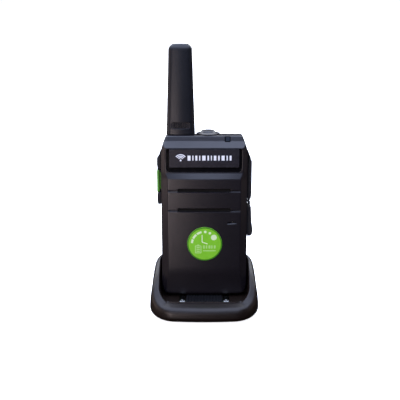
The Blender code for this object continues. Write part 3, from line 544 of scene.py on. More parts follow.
def housingBlock(heights, depthAt, seam, chamfer, facing, inset=0.0, crown=None):
    # rings at the heights, drawn inwards by inset; crown(depth) is the height of a sloped top
    edge = radio["topEdge"]
    top = heights[-1] + edge
    crownFrom = 100.0
    panelFrom = chamfer[0] - 2.0  # the front panel's crown starts at this depth
    levels = [(z, 0.0) for z in heights]
    for angle in quarterTurn(5)[1:]:
        levels.append((top - edge + edge * math.sin(angle), edge * (1 - math.cos(angle))))
    rings = []
    for z, pull in levels:
        depth = max(depthAt(z) - inset - pull, seam + 1.2)
        level = inset + z * (top - 2 * inset) / top
        ring = []
        for x, y in planRingOf(halfWidthAt(z) - inset - pull, depth, seam, chamfer):
            height = level
            if facing < 0 and y > panelFrom:
                y -= crownDrop(x, z) * (y - panelFrom) / max(depth - panelFrom, 0.1)
            if crown and z > crownFrom:
                share = (crown(y) - crownFrom) / (top - crownFrom)
                height = crownFrom + (level - crownFrom) * share
            ring.append((x, facing * y, height))
        rings.append(ring)
    return loft(rings)


def stackedHeights(top, *lines):
    # closer together round the bottom corners, and at each point of the lines
    steps = 14
    heights = [radio["bottomCorner"] * (k / steps) ** 2 for k in range(steps + 1)]
    heights += [u for line in lines for u, _ in line]
    heights = sorted(z for z in heights if z <= top - radio["topEdge"])
    kept = [heights[0]]
    for z in heights[1:]:
        if z - kept[-1] > 0.08:
            kept.append(z)
    return kept + [top - radio["topEdge"]]


frontPanel = {
    "wall": 1.8,
    "slotHalfWidth": 17.2,
    "slots": ((71.2, 73.6), (58.1, 60.7)),
    "grooveReach": 23.3,
    "grooveDepth": 0.6,
    "microphone": (18.0, 50.9),
    "recess": (24.4, 84.0, 99.6),  # half width, bottom, top
    "recessDepth": 1.6,
    "lamp": (15.0, -6.82, 104.9),
    "lampSlope": (1.0, 3.4),
}
sideOpenings = {
    "band": (-4.3, 5.3),
    "keys": ((69.3, 84.1), (86.4, 92.6), (62.6, 67.4)),
    "jacks": ((47.0, 2.0), (55.5, 1.5)),
}


def sharedCutters():
    # the antenna's neck, the knob's well and shaft, key plungers and jack bores
    x, y = radio["antennaCentre"]
    yield block((x - 6.3, y - 3.5, 98.0), (x + 6.3, y + 3.5, 110.0), 1.8)
    yield prism(circle(radio["knobCentre"], 7.6, 64), "Z", 105.2, 110.0)
    yield prism(circle(radio["knobCentre"], 3.4, 32), "Z", 98.0, 106.0)
    low, high = sideOpenings["band"]
    for bottom, top in sideOpenings["keys"]:
        yield block((-32.0, low + 2.1, bottom + 1.3), (-25.0, high - 2.1, top - 1.3))
    for height, radius in sideOpenings["jacks"]:
        yield prism(circle((0.5, height), radius, 32), "X", 25.0, 32.0)


def lampBlock(halfWidth, halfHeight, depth, proud, radius=0.3):
    # a block square to the steep top wall at the lamp
    body = block((-halfWidth, -proud, -halfHeight), (halfWidth, depth, halfHeight), radius, "Y")
    moved(body, Matrix.Rotation(-math.atan2(*frontPanel["lampSlope"]), 4, "X"))
    return shifted(body, frontPanel["lamp"])


def cutSlots(body):
    # the two speaker slots, each with a shallow groove that runs past it
    reach = frontPanel["slotHalfWidth"]
    depth = radio["front"] - frontPanel["grooveDepth"]
    places = [frontPanel["grooveReach"] * (i / 12 - 1) for i in range(25)]
    for low, high in frontPanel["slots"]:
        carve(body, block((-reach, -14.0, low), (reach, -9.0, high), 0.5, "Y"))
        groove = [(-14.0, low + 1.6), (-depth, low + 1.2), (-depth, low + 0.5), (-14.0, low - 0.3)]
        carve(body, loft([[(x, y + crownDrop(x), z) for y, z in groove] for x in places]))


def cutMicrophone(body):
    # a scoop in the crowned panel and the sound hole in it
    x, z = frontPanel["microphone"]
    scoop = [(-14.0, z + 0.7), (-11.9, z + 0.5), (-11.9, z + 0.2), (-13.2, z - 1.1)]
    scoop = [(y + crownDrop(x), level) for y, level in scoop + [(-14.0, z - 1.1)]]
    carve(body, prism(scoop, "X", x - 2.9, x + 2.9))
    carve(body, prism(circle((x + 0.6, z + 0.4), 0.9, 24), "Y", -14.0, -9.0))


def makeFrontHousing():
    heights = stackedHeights(radio["height"], sideLine, frontLine)
    seam = radio["gap"] / 2 - radio["seam"]
    chamfer = radio["frontChamfer"]
    body = housingBlock(heights, frontAt, seam, chamfer, -1)
    carve(body, housingBlock(heights, frontAt, seam - 2.0, chamfer, -1, frontPanel["wall"]))
    cutSlots(body)
    reach, bottom, top = frontPanel["recess"]
    outline = [(-reach, bottom, 2.8), (reach, bottom, 2.8), (reach, top, 1.2), (-reach, top, 1.2)]
    floor = frontPanel["recessDepth"] - radio["labelFace"]
    carve(body, prism(roundedLine(outline, 10), "Y", -16.0, floor))
    carve(body, lampBlock(1.75, 1.75, 4.0, 3.0, 0.4))
    carve(body, *sharedCutters())
    for x in (-radio["padX"], radio["padX"]):  # openings for the charging pads
        carve(body, block((x - 2.3, -8.4, -1.0), (x + 2.3, -3.6, 3.0)))
    for spot in radio["posts"]:
        carve(body, prism(circle(spot, 2.4, 24), "Y", -10.3, 0.0), operation="UNION")
        carve(body, prism(circle(spot, 1.0, 16), "Y", -9.5, 2.0))
    softened(cleaned(body, 0.2), 0.22, 2, 42)
    cutMicrophone(body)
    finished(body, "front_housing_moulding", inRadio, "radio", "sparkMouldedAbs", "housing",
             ["front_housing"])


def rearCrown(depth):
    return radio["height"] - max(depth - radio["seam"], 0.0) * radio["topFall"]


def makeRearHousing():
    ledge = radio["ledge"]
    heights = stackedHeights(radio["height"], sideLine, backLine)
    heights = sorted([z for z in heights if abs(z - ledge) > 0.3] + [ledge, ledge + 0.001])
    seam = radio["seam"] + radio["gap"] / 2
    chamfer = radio["backChamfer"]
    body = housingBlock(heights, backAt, seam, chamfer, 1, crown=rearCrown)
    carve(body, housingBlock(heights, backAt, seam - 2.0, chamfer, 1, 1.6, rearCrown))
    carve(body, block((-7.3, 3.0, 69.7), (7.3, 8.0, 74.3)))  # battery contacts
    carve(body, *sharedCutters())
    for spot in radio["posts"]:
        carve(body, prism(circle(spot, 2.4, 24), "Y", seam, 5.4), operation="UNION")
        carve(body, prism(circle(spot, 1.0, 16), "Y", 0.0, 8.0))
        carve(body, prism(circle(spot, 2.2, 24), "Y", 4.6, 8.0))
    softened(cleaned(body, 0.2), 0.22, 2, 42)
    finished(body, "rear_housing_moulding", inRadio, "radio", "sparkMouldedAbs", "housing",
             ["rear_housing"])


battery = {"front": 7.8, "top": 79.3, "chin": 2.0, "wall": 1.3,
           "latchWell": (8.4, 64.0, 77.5, 0.7)}  # half width, bottom, top, depth


def makeBatteryCase():
    heights = stackedHeights(battery["top"])
    front, chamfer = battery["front"], radio["backChamfer"]
    body = housingBlock(heights, batteryBackAt, front, chamfer, 1)
    carve(body, housingBlock(heights, batteryBackAt, front - 2.0, chamfer, 1, battery["wall"]))
    reach, low, high, depth = battery["latchWell"]
    carve(body, block((-reach, radio["back"] - depth, low), (reach, 16.0, high), 1.0, "Y"))
    softened(cleaned(body, 0.2), 0.25, 2, 42)
    finished(body, "battery_case_moulding", inRadio, "radio", "sparkMouldedAbs", "housing",
             ["battery_case"])
    cover = softened(solidCopy("battery_inner_cover", inRadio), 0.2, 2)
    finished(cover, "battery_cover_moulding", inRadio, "radio", "sparkMouldedAbs", "housing",
             ["battery_inner_cover"])


makeFrontHousing()
makeRearHousing()
makeBatteryCase()
print("moulded the radio's case")


# rows and rings of ribs, by Geometry Nodes

def sizedTree(name, sizes):
    # a tree with a named input for each size
    tree = bpy.data.node_groups.new(name, "GeometryNodeTree")
    tree.is_modifier = True
    tree.interface.new_socket(name="Geometry", in_out="OUTPUT", socket_type="NodeSocketGeometry")
    for label in sizes:
        kind = "NodeSocketInt" if label == "Count" else "NodeSocketFloat"
        tree.interface.new_socket(name=label, in_out="INPUT", socket_type=kind)
    return tree, addNode(tree, "NodeGroupInput").outputs


def endTree(tree, shape, finish):
    # the shape made real, in its finish
    real = addNode(tree, "GeometryNodeRealizeInstances", {"Geometry": shape})
    dressed = addNode(tree, "GeometryNodeSetMaterial",
                      {"Geometry": real, "Material": finishes[finish]})
    addNode(tree, "NodeGroupOutput", {"Geometry": dressed})
    return tree


def ribTree(finish, inRing=False):
    # rounded bars at even spacing, in a row along X or round a circle
    tree, given = sizedTree("ribs", ("Count", "Reach", "Radius", "Length"))
    bar = addNode(tree, "GeometryNodeMeshCylinder",
                  {"Vertices": 12, "Radius": given["Radius"], "Depth": given["Length"]},
                  fill_type="TRIANGLE_FAN")
    if inRing:
        spots = addNode(tree, "GeometryNodeMeshCircle",
                        {"Vertices": given["Count"], "Radius": given["Reach"]})
    else:
        minus = addNode(tree, "ShaderNodeMath", {0: given["Reach"], 1: -1.0}, operation="MULTIPLY")
        first = addNode(tree, "ShaderNodeCombineXYZ", {"X": minus})
        last = addNode(tree, "ShaderNodeCombineXYZ", {"X": given["Reach"]})
        spots = addNode(tree, "GeometryNodeMeshLine",
                        {"Count": given["Count"], "Start Location": first, "Offset": last},
                        mode="END_POINTS")
    bars = addNode(tree, "GeometryNodeInstanceOnPoints", {"Points": spots, "Instance": bar})
    return endTree(tree, bars, finish)


def grown(tree, values):
    # the tree's result, as a plain mesh object
    thing = bpy.data.objects.new("grown", bpy.data.meshes.new("grown"))
    bpy.context.scene.collection.objects.link(thing)
    modifier = thing.modifiers.new("grow", "NODES")
    modifier.node_group = tree
    for item in tree.interface.items_tree:
        if item.in_out == "INPUT" and item.name in values:
            modifier[item.identifier] = values[item.name]
    return settle(thing)


ribRows = {
    # name: number of ribs, length, reach to each side, middle, finish
    # the slot ribs are near-black: painted shade for the inside of the slots
    "slot_ribs_upper": (15, 3.0, 15.6, (0, -10.6, 72.4), "paintedSlotShade"),
    "slot_ribs_lower": (15, 3.2, 15.6, (0, -10.6, 59.4), "paintedSlotShade"),
    "antenna_window_ribs": (8, 2.7, 3.9, (-15.35, -3.62, 113.2), "overmouldedPolyurethane"),
}


def makeRibRows():
    for name, (count, length, reach, middle, finish) in ribRows.items():
        ribs = grown(ribTree(finish), {"Count": count, "Reach": reach, "Radius": 0.36,
                                       "Length": length})
        finished(shifted(ribs, middle), name, inRadio, "radio", finish, "housing")


makeRibRows()
print("set the rib rows")


# antenna

antenna = {
    "base": 107.3,
    "top": 164.4,
    "width": (18.4, 14.6),  # at the base and at the tip
    "depth": (10.6, 7.6),
    "corner": 2.8,
    "crown": 3.6,  # how far down the rounding of the tip reaches
    "bulge": 0.9,  # how much the faces round off towards their sides
    "window": (5.9, 111.1, 115.3, 0.75),  # half width, bottom, top, depth
    "neck": (6.0, 3.2, 100.6),  # half width, half depth, foot
    "coreBore": (2.6, 99.0, 158.0),
}


def antennaTree():
    # a rounded rectangle swept up the height, drawn in towards the tip and rounded over it
    sizes = ("Height", "Width", "Depth", "Corner", "Taper", "Depth Taper", "Crown", "Bulge")
    tree, given = sizedTree("antennaSweep", sizes)
    rise = addNode(tree, "ShaderNodeCombineXYZ", {"Z": given["Height"]})
    spine = addNode(tree, "GeometryNodeMeshLine", {"Count": 160, "Offset": rise},
                    mode="END_POINTS")
    line = addNode(tree, "GeometryNodeMeshToCurve", {"Mesh": spine})
    outline = addNode(tree, "GeometryNodeCurvePrimitiveQuadrilateral",
                      {"Width": given["Width"], "Height": given["Depth"]})
    rounded = addNode(tree, "GeometryNodeFilletCurve",
                      {"Curve": outline, "Radius": given["Corner"], "Count": 10}, mode="POLY")
    even = addNode(tree, "GeometryNodeResampleCurve", {"Curve": rounded, "Count": 96})
    body = addNode(tree, "GeometryNodeCurveToMesh",
                   {"Curve": line, "Profile Curve": even, "Fill Caps": True})
    where = addNode(tree, "ShaderNodeSeparateXYZ",
                    {"Vector": addNode(tree, "GeometryNodeInputPosition")}).outputs
    share = addNode(tree, "ShaderNodeMath", {0: where["Z"], 1: given["Height"]},
                    operation="DIVIDE")
    below = addNode(tree, "ShaderNodeMath", {0: given["Height"], 1: where["Z"]},
                    operation="SUBTRACT")
    near = addNode(tree, "ShaderNodeMath", {0: below, 1: given["Crown"]},
                   operation="DIVIDE", use_clamp=True)
    left = addNode(tree, "ShaderNodeMath", {0: 1.0, 1: near}, operation="SUBTRACT")
    steep = addNode(tree, "ShaderNodeMath", {0: left, 1: 2.4}, operation="POWER")
    arc = addNode(tree, "ShaderNodeMath", {0: steep, 1: -0.34, 2: 1.0}, operation="MULTIPLY_ADD")
    scaled = []
    for taper in ("Taper", "Depth Taper"):
        drawn = addNode(tree, "ShaderNodeMath", {0: share, 1: given[taper]}, operation="MULTIPLY")
        kept = addNode(tree, "ShaderNodeMath", {0: 1.0, 1: drawn}, operation="SUBTRACT")
        scaled.append(addNode(tree, "ShaderNodeMath", {0: kept, 1: arc}, operation="MULTIPLY"))
    x = addNode(tree, "ShaderNodeMath", {0: where["X"], 1: scaled[0]}, operation="MULTIPLY")
    aside = addNode(tree, "ShaderNodeMath", {0: where["X"], 1: given["Width"]},
                    operation="DIVIDE")
    square = addNode(tree, "ShaderNodeMath", {0: aside, 1: aside}, operation="MULTIPLY")
    fall = addNode(tree, "ShaderNodeMath", {0: square, 1: given["Bulge"]}, operation="MULTIPLY")
    rest = addNode(tree, "ShaderNodeMath", {0: scaled[1], 1: fall}, operation="SUBTRACT")
    y = addNode(tree, "ShaderNodeMath", {0: where["Y"], 1: rest}, operation="MULTIPLY")
    spot = addNode(tree, "ShaderNodeCombineXYZ", {"X": x, "Y": y, "Z": where["Z"]})
    shaped = addNode(tree, "GeometryNodeSetPosition", {"Geometry": body, "Position": spot})
    return endTree(tree, shaped, "overmouldedPolyurethane")


def makeAntenna():
    x, y = radio["antennaCentre"]
    base = antenna["base"]
    width, depth = antenna["width"], antenna["depth"]
    body = grown(antennaTree(), {
        "Height": antenna["top"] - base, "Width": width[0], "Depth": depth[0],
        "Corner": antenna["corner"], "Taper": 1 - width[1] / width[0],
        "Depth Taper": 1 - depth[1] / depth[0], "Crown": antenna["crown"],
        "Bulge": antenna["bulge"]})
    shifted(cleaned(body, 0.01), (x, y, base))
    reach, thick, foot = antenna["neck"]
    neck = block((x - reach, y - thick, foot), (x + reach, y + thick, base + 1.0), 1.5)
    carve(body, neck, operation="UNION")
    reach, bottom, top, sunk = antenna["window"]
    face = y - depth[0] / 2 + 0.35  # the front face at the window's height
    window = rectangle(x - reach, bottom, x + reach, top, 1.3)
    carve(body, prism(window, "Y", -9.0, face + sunk))
    radius, low, high = antenna["coreBore"]
    carve(body, prism(circle((x, y), radius, 24), "Z", low, high))
    softened(body, 0.2, 2, 42)
    finished(body, "antenna_moulding", inRadio, "radio", "overmouldedPolyurethane", "housing",
             ["antenna_cover"])


makeAntenna()
print("swept the antenna")


# volume knob

knob = {"radius": 7.2, "top": 109.6, "bottom": 105.6, "ribs": 30, "ribRadius": 0.32,
        "ribLength": 1.9, "ribHeight": 106.7}


def makeKnob():
    x, y = radio["knobCentre"]
    wide, top, bottom = knob["radius"], knob["top"], knob["bottom"]
    side = roundedLine([(0, top, 0), (3.9, top - 0.15, 1.6), (5.1, top - 1.3, 1.6),
                        (wide, top - 2.1, 0.7), (wide, bottom, 0.3), (3.3, bottom, 0.0),
                        (3.3, top - 1.6, 0), (0, top - 1.6, 0)], 6, closed=False)
    cap = shifted(turned(side, 96), (x, y, 0))
    finished(cap, "volume_knob_cap", inRadio, "volume_knob", "sparkMouldedAbs", "housing",
             ["volume_knob"])
    ribs = grown(ribTree("sparkMouldedAbs", True), {
        "Count": knob["ribs"], "Reach": knob["radius"] - 0.05, "Radius": knob["ribRadius"],
        "Length": knob["ribLength"]})
    finished(shifted(ribs, (x, y, knob["ribHeight"])), "volume_knob_ribs", inRadio,
             "volume_knob", "sparkMouldedAbs", "housing")


makeKnob()
print("turned the knob")


# name plate and sticker, with their print as thin layers of ink

plate = {
    "face": -radio["labelFace"],
    "ink": 0.04,
    "glyph": (-15.0, 92.0),  # middle of the dot below the arcs
    "dot": 0.62,
    "arcs": (1.1, 2.1, 3.1),
    "bars": (1.9, 0.7, 1.3, 0.7, 2.2, 1.0, 0.7, 1.6, 1.0, 2.0, 0.8, 1.2),
    "barBox": (-10.6, 91.9, 17.4, 95.1),  # left, bottom, right, top
}


def arcBand(centre, inner, outer, start, end, steps=20):
    # a flat band between two radii, from one angle to another, with both ends square
    angles = [math.radians(start + (end - start) * i / steps) for i in range(steps + 1)]
    out = [Vector(centre) + Vector((math.cos(a), math.sin(a))) * outer for a in angles]
    back = [Vector(centre) + Vector((math.cos(a), math.sin(a))) * inner for a in reversed(angles)]
    return out + back


def joinedPiece(parts):
    # several solids as one mesh; they don't touch, so no union is needed
    mesh = bmesh.new()
    for part in parts:
        mesh.from_mesh(part.data)
        bpy.data.objects.remove(part)
    return solidFrom(mesh)


def makeNamePlate():
    body = softened(solidCopy("name_plate", inRadio), 0.18, 3)
    finished(body, "name_plate_film", inRadio, "radio", "sparkleFilm", "plate", ["name_plate"])
    marks = [circle(plate["glyph"], plate["dot"], 24)]
    marks += [arcBand(plate["glyph"], r + 0.35, r + 0.95, 38, 142) for r in plate["arcs"]]
    left, bottom, right, top = plate["barBox"]
    gap = (right - left - sum(plate["bars"])) / (len(plate["bars"]) - 1)
    for width in plate["bars"]:
        marks.append(rectangle(left, bottom, left + width, top, 0.15, 3))
        left += width + gap
    low, high = plate["face"] - plate["ink"], plate["face"] + 0.2
    layer = joinedPiece([prism(mark, "Y", low, high) for mark in marks])
    finished(layer, "name_plate_print", inRadio, "radio", "screenInk", "plate")


sticker = {
    "centre": (0.3, 36.8),
    "radius": 11.35,
    "face": -13.3,
    "back": -13.0,
    "ink": 0.04,
    "edge": 0.75,  # width of the line round it
    "gauge": ((158, 176), (131, 154), (104, 127)),  # bars over the upper left, in degrees
    "dots": ((0.4, 8.2, 0.85), (3.4, 7.3, 0.85), (6.0, 4.4, 1.9)),
    "captionBars": (1.1, 0.9, 1.3, 0.9, 1.1),
}


def laidOnPanel(thing):
    # bends a thin thing over the crowned panel
    for vertex in thing.data.vertices:
        vertex.co.y += crownDrop(vertex.co.x)
    return thing


def inkFrame(outer, inner, low, high):
    # a flat frame between two lines of equally many points
    lines = ((outer, low), (inner, low), (inner, high), (outer, high))
    return loft([[(u, level, v) for u, v in line] for line, level in lines], closedAlong=True)


def makeStickerFilm():
    x, z = sticker["centre"]
    face, back, radius = -sticker["face"], -sticker["back"], sticker["radius"]
    columns = [radius * i / 8 for i in range(8)]
    side = [(r, face) for r in columns]
    side += [(radius - 0.08, face), (radius, face - 0.08), (radius, back)]
    side += [(r, back) for r in reversed(columns)]
    film = moved(turned(side, 96), Matrix.Rotation(math.pi / 2, 4, "X"))
    finished(laidOnPanel(shifted(film, (x, 0, z))), "charge_sticker_film", inRadio, "radio",
             "printedVinyl", "sticker", ["charge_sticker"])


def makeStickerPrint():
    x, z = sticker["centre"]
    low, high = sticker["face"] - sticker["ink"], sticker["face"] + 0.1
    outer = sticker["radius"] - 0.06
    edge = inkFrame(circle((x, z), outer, 96), circle((x, z), outer - sticker["edge"], 96), low, high)
    marks = [arcBand((x, z), 7.6, 9.0, start, end) for start, end in sticker["gauge"]]
    marks += [circle((x + u, z + v), r, 24 if r < 1 else 32) for u, v, r in sticker["dots"]]
    marks.append(rectangle(x - 2.0, z + 1.2, x - 1.4, z + 6.2, 0.2, 3))  # clock hands
    marks.append(roundedLine([(x - 1.6, z + 1.6, 0.1), (x - 1.8, z + 1.0, 0.1),
                              (x + 1.8, z - 0.3, 0.1), (x + 2.0, z + 0.3, 0.1)], 3))
    strong = [prism(mark, "Y", low, high) for mark in marks]
    marks = []
    for index, width in enumerate(sticker["captionBars"]):  # text as plain bars
        left = x - 1.0 + index * 1.75
        marks.append(rectangle(left, z - 3.1, left + width, z - 1.0, 0.15, 3))
    marks.append(rectangle(x - 1.0, z - 5.0, x + 7.2, z - 4.3, 0.15, 3))
    marks.append(rectangle(x - 4.9, z - 1.0, x - 3.5, z - 0.4, 0.1, 3))  # battery's terminal
    thin = [prism(mark, "Y", low, high) for mark in marks]
    thin.append(inkFrame(rectangle(x - 6.3, z - 6.4, x - 2.1, z - 1.0, 0.5, 4),
                         rectangle(x - 5.7, z - 5.8, x - 2.7, z - 1.6, 0.3, 4), low, high))
    for step in range(3):  # the battery's charge
        bottom = z - 5.4 + step * 1.3
        charge = rectangle(x - 5.3, bottom, x - 3.1, bottom + 0.8, 0.1, 3)
        thin.append(prism(charge, "Y", low, high))
    for layer, name, finish in ((edge, "edge", "edgeInk"), (joinedPiece(strong), "print", "paleInk"),
                                (joinedPiece(thin), "caption", "thinInk")):
        finished(laidOnPanel(layer), f"charge_sticker_{name}", inRadio, "radio", finish, "sticker")


makeNamePlate()
makeStickerFilm()
makeStickerPrint()
print("printed the plate and the sticker")


# small mouldings whose solid shape is right and only needs soft edges

softPieces = {
    # piece: (node, body, finish, slot, edge radius in mm)
    "key_surround_moulding": ("key_surround", "radio", "mattRubber", "key_rubber", 0.35),
    "talk_key_cap": ("talk_key", "talk_key", "greenElastomer", "talk_key", 0.5),
    "side_key_upper_cap": ("side_key_upper", "side_key_upper", "mattRubber", "key_rubber", 0.45),
    "side_key_lower_cap": ("side_key_lower", "side_key_lower", "mattRubber", "key_rubber", 0.45),
    "cover_anchor_moulding": ("cover_anchor", "radio", "mattRubber", "key_rubber", 0.6),
    "cover_hinge_web": ("cover_hinge", "radio", "mattRubber", "key_rubber", 0.2),
    "jack_cover_flap": ("jack_cover", "jack_cover", "mattRubber", "key_rubber", 0.35),
    "belt_clip_spring_plate": ("belt_clip", "belt_clip", "satinMouldedAbs", "housing", 0.45),
    "clip_bracket_moulding": ("clip_bracket", "radio", "sparkMouldedAbs", "housing", 0.25),
    "battery_latch_slide": ("battery_latch", "battery_latch", "sparkMouldedAbs", "housing", 0.2),
    "charge_pad_left_plate": ("charge_pad_left", "radio", "nickelPlate", "nickel", 0.15),
    "charge_pad_right_plate": ("charge_pad_right", "radio", "nickelPlate", "nickel", 0.15),
}


def makeSoftPieces():
    for name, (node, body, finish, slotName, width) in softPieces.items():
        piece = softened(solidCopy(node, inRadio), width, 3)
        finished(piece, name, inRadio, body, finish, slotName, [node])
    lamp = softened(lampBlock(1.3, 1.35, 1.6, 0.1, 0.35), 0.12, 2)
    finished(lamp, "lamp_lens", inRadio, "radio", "smokedLens", "lamp", ["lamp_window"])


makeSoftPieces()
print("softened the small mouldings")


# charging cradle

def forwardShare(y):
    # 0 at the rear of the rim, 1 at its front
    return (cradle["rimStart"] - y) / cradle["rimLength"]


def rimHeight(y):
    # inner edge of the rim: low in front, rising steeply and then gently to the rear
    even, steep = cradle["rimFall"]
    return cradle["rimRear"] - even * forwardShare(y) - steep * forwardShare(y)**3


def floorHeight(y):
    # the pocket's floor leans with the radio
    seatY, seatZ = cradle["seat"]
    drop = cradle["floorDrop"]
    start = seatZ - drop * math.cos(lean)
    return start - (y - seatY + drop * math.sin(lean)) * math.tan(lean)


fineness = {"front": 8, "frontCorner": 22, "side": 14, "rearCorner": 16, "rear": 5}


def planRing(halfWidth, front, rear, bow=0.0):
    # rounded plan outline, front middle first; corners end on the same lines on every ring
    frontTurn, rearTurn = cradle["frontTurn"], cradle["rearTurn"]
    frontRadius = frontTurn - front
    rearRadius = rear - rearTurn
    steps = fineness["front"]
    half = [((halfWidth - frontRadius) * i / steps, front) for i in range(steps)]
    for angle in quarterTurn(fineness["frontCorner"]):
        x = halfWidth - frontRadius * (1 - math.sin(angle))
        half.append((x, frontTurn - frontRadius * math.cos(angle)))
    steps = fineness["side"]
    half += [(halfWidth, frontTurn + (rearTurn - frontTurn) * i / steps) for i in range(1, steps)]
    for angle in quarterTurn(fineness["rearCorner"]):
        x = halfWidth - rearRadius * (1 - math.cos(angle))
        half.append((x, rearTurn + rearRadius * math.sin(angle)))
    steps = fineness["rear"]
    half += [((halfWidth - rearRadius) * (1 - i / steps), rear) for i in range(1, steps + 1)]
    bowed = []
    for x, y in half:
        forward = (rear - y) / (rear - front)
        bowed.append((x, y - bow * forward**3 * (1 - (x / halfWidth) ** 2)))
    return bowed + [(-x, y) for x, y in reversed(bowed[1:-1])]


def outerRing(height, inset=0.0):
    # the outer skin's outline at a height, drawn inwards by inset
    above = max(height - cradle["waist"], 0.0)
    below = min(max(cradle["waist"] - height, 0.0), 3.65)
    fall = {}
    for wall, (reach, rise, power) in cradle["lean"].items():
        fall[wall] = reach * (above / rise) ** power
    tuck = cradle["tuck"] - math.sqrt(cradle["tuck"]**2 - below**2) + inset
    front = min(cradle["front"] + fall["front"] + tuck, cradle["frontTurn"] - 1.0)
    return planRing(cradle["halfWidth"] - fall["side"] - tuck, front,
                    cradle["rear"] - fall["rear"] - tuck, cradle["frontBow"])


ringSize = len(planRing(cradle["halfWidth"], cradle["front"], cradle["rear"]))


def rimEdgeHeights():
    # height of the rim's outer edge at each point of the outline
    heights = [cradle["rimRear"]] * ringSize
    for _ in range(14):  # the outline depends on the height, so both are found in turns
        rings = {}
        for i, height in enumerate(heights):
            key = round(height, 2)
            if key not in rings:
                rings[key] = outerRing(height)
            y = rings[key][i][1]
            y += 3.5 * max(0.0, min(1.0, (-24.0 - y) / 5.0))
            target = rimHeight(max(y, cradle["pocketFront"])) - 2.2 + 0.8 * forwardShare(y)
            heights[i] = (height + target) / 2
    for _ in range(6):  # evens out the steps between neighbours
        heights = [(heights[i - 1] + 2 * heights[i] + heights[(i + 1) % ringSize]) / 4
                   for i in range(ringSize)]
    return heights


def atHeights(heights, inset=0.0):
    # points of the outer skin, each at its own height
    ring = []
    for i, height in enumerate(heights):
        x, y = outerRing(height, inset)[i]
        ring.append((x, y, height))
    return ring


def blended(ring, other, share):
    return [Vector(a).lerp(Vector(b), share) for a, b in zip(ring, other)]


def pocketRings():
    # floor, fillet, wall and the rim's rounded inner edge, up to its crest
    wide, front, rear = (cradle[k] for k in ("pocketHalfWidth", "pocketFront", "pocketRear"))
    fillet, lip = cradle["fillet"], cradle["lip"]
    floor = [(x, y, floorHeight(y)) for x, y in planRing(wide - 2.4, front + 2.4, rear - 4.7)]
    foot = [(x, y, floorHeight(y)) for x, y in planRing(wide - 0.6, front + 0.6, rear - 2.9)]
    wall = [(x, y, rimHeight(y) - lip) for x, y in planRing(wide, front, rear)]
    crest = [Vector((x, y, rimHeight(max(y, front))))
             for x, y in planRing(wide + lip, front - lip, rear + lip)]
    rings = []
    for angle in quarterTurn(6):
        ring = blended(floor, foot, math.sin(angle))
        for spot in ring:
            spot.z += fillet * (1 - math.cos(angle))
        rings.append(ring)
    rings += [blended(rings[-1], wall, share) for share in (0.25, 0.5, 0.75, 1.0)]
    top = rings[-1]
    for angle in quarterTurn(5)[1:]:
        ring = blended(top, crest, 1 - math.cos(angle))
        for spot, low, high in zip(ring, top, crest):
            spot.z = low.z + (high.z - low.z) * math.sin(angle)
        rings.append(ring)
    return rings, crest


def skinRings(crest):
    # the rim's crown, its outer edge rounded over into the wall, the wall and the hollow inside
    waist, rounding = cradle["waist"], cradle["rimRounding"]
    heights = rimEdgeHeights()
    edge = atHeights(heights)
    below = atHeights([height - rounding for height in heights])
    rings = [blended(crest, edge, share) for share in (0.15, 0.3, 0.45, 0.6)]
    start = rings[-1]
    for i in range(1, 8):
        t = i / 7
        rings.append([a * (1 - t) ** 2 + Vector(b) * 2 * t * (1 - t) + Vector(c) * t**2
                      for a, b, c in zip(start, edge, below)])
    for i in range(1, 11):
        rings.append(atHeights([waist + (h - rounding - waist) * (1 - i / 10) for h in heights]))
    for angle in quarterTurn(8)[1:]:
        drop = (waist - cradle["underside"]) * math.sin(angle)
        rings.append(atHeights([waist - drop] * ringSize))
    rings.append(atHeights([cradle["underside"]] * ringSize, cradle["wall"]))
    for part in (0.0, 0.35, 0.7):
        rings.append(atHeights([waist + (h - waist) * part for h in heights], cradle["wall"]))
    return rings


def makeCradleShell():
    rings, crest = pocketRings()
    rings += skinRings(crest)
    wide, front, rear = (cradle[k] for k in ("pocketHalfWidth", "pocketFront", "pocketRear"))
    under = planRing(wide + 1.2, front - 1.2, rear - 0.9)
    rings.append([(x, y, floorHeight(y) - cradle["floorThickness"]) for x, y in under])
    shell = loft(rings)
    for x in (-contact["x"], contact["x"]):  # slots for the contacts
        carve(shell, block((x - 2.1, -23.6, 2.0), (x + 2.1, -4.6, 14.0), 0.6))
    carve(shell, block((-4.8, 16.0, 3.0), (4.8, 30.0, 9.6), 0.8, "Y"))  # power inlet
    for x in (-24.0, 24.0):  # screw posts
        ceiling = floorHeight(-3.0) - cradle["floorThickness"]
        carve(shell, prism(circle((x, -3.0), 2.3, 24), "Z", 3.2, ceiling + 0.9), operation="UNION")
        carve(shell, prism(circle((x, -3.0), 1.0, 16), "Z", 2.0, ceiling + 0.3))
    finished(shell, "cradle_moulding", inCradle, "cradle", "satinMouldedAbs", "cradle",
             ["cradle_shell"], 50)


contact = {
    "x": radio["padX"],
    "halfWidth": 1.6,
    "thickness": 0.4,
    "pipPlace": (-17.6, -0.42),  # y and z of the round pip on the hump
    "pip": ((0, 0.62), (0.5, 0.56), (0.95, 0.38), (1.25, 0.1), (1.3, -0.15), (0, -0.15)),
    "line": ((-19.6, -4.2), (-20.1, -3.0), (-19.4, -1.4), (-18.2, -0.5), (-17.3, -0.42),
             (-16.4, -0.55), (-14.8, -1.05), (-12.4, -1.3), (-9.0, -1.15), (-7.4, -0.6),
             (-6.0, -0.42), (-4.9, -0.55), (-4.0, -0.95)),
}


def smoothLine(points, steps=5):
    # a curve through the points
    line = []
    for i in range(len(points) - 1):
        a, b, c, d = (Vector(points[min(max(i + k, 0), len(points) - 1)]) for k in (-1, 0, 1, 2))
        for step in range(steps):
            t = step / steps
            line.append(0.5 * (2 * b + (c - a) * t + (2 * a - 5 * b + 4 * c - d) * t**2
                               + (3 * b - a - 3 * c + d) * t**3))
    return line + [Vector(points[-1])]


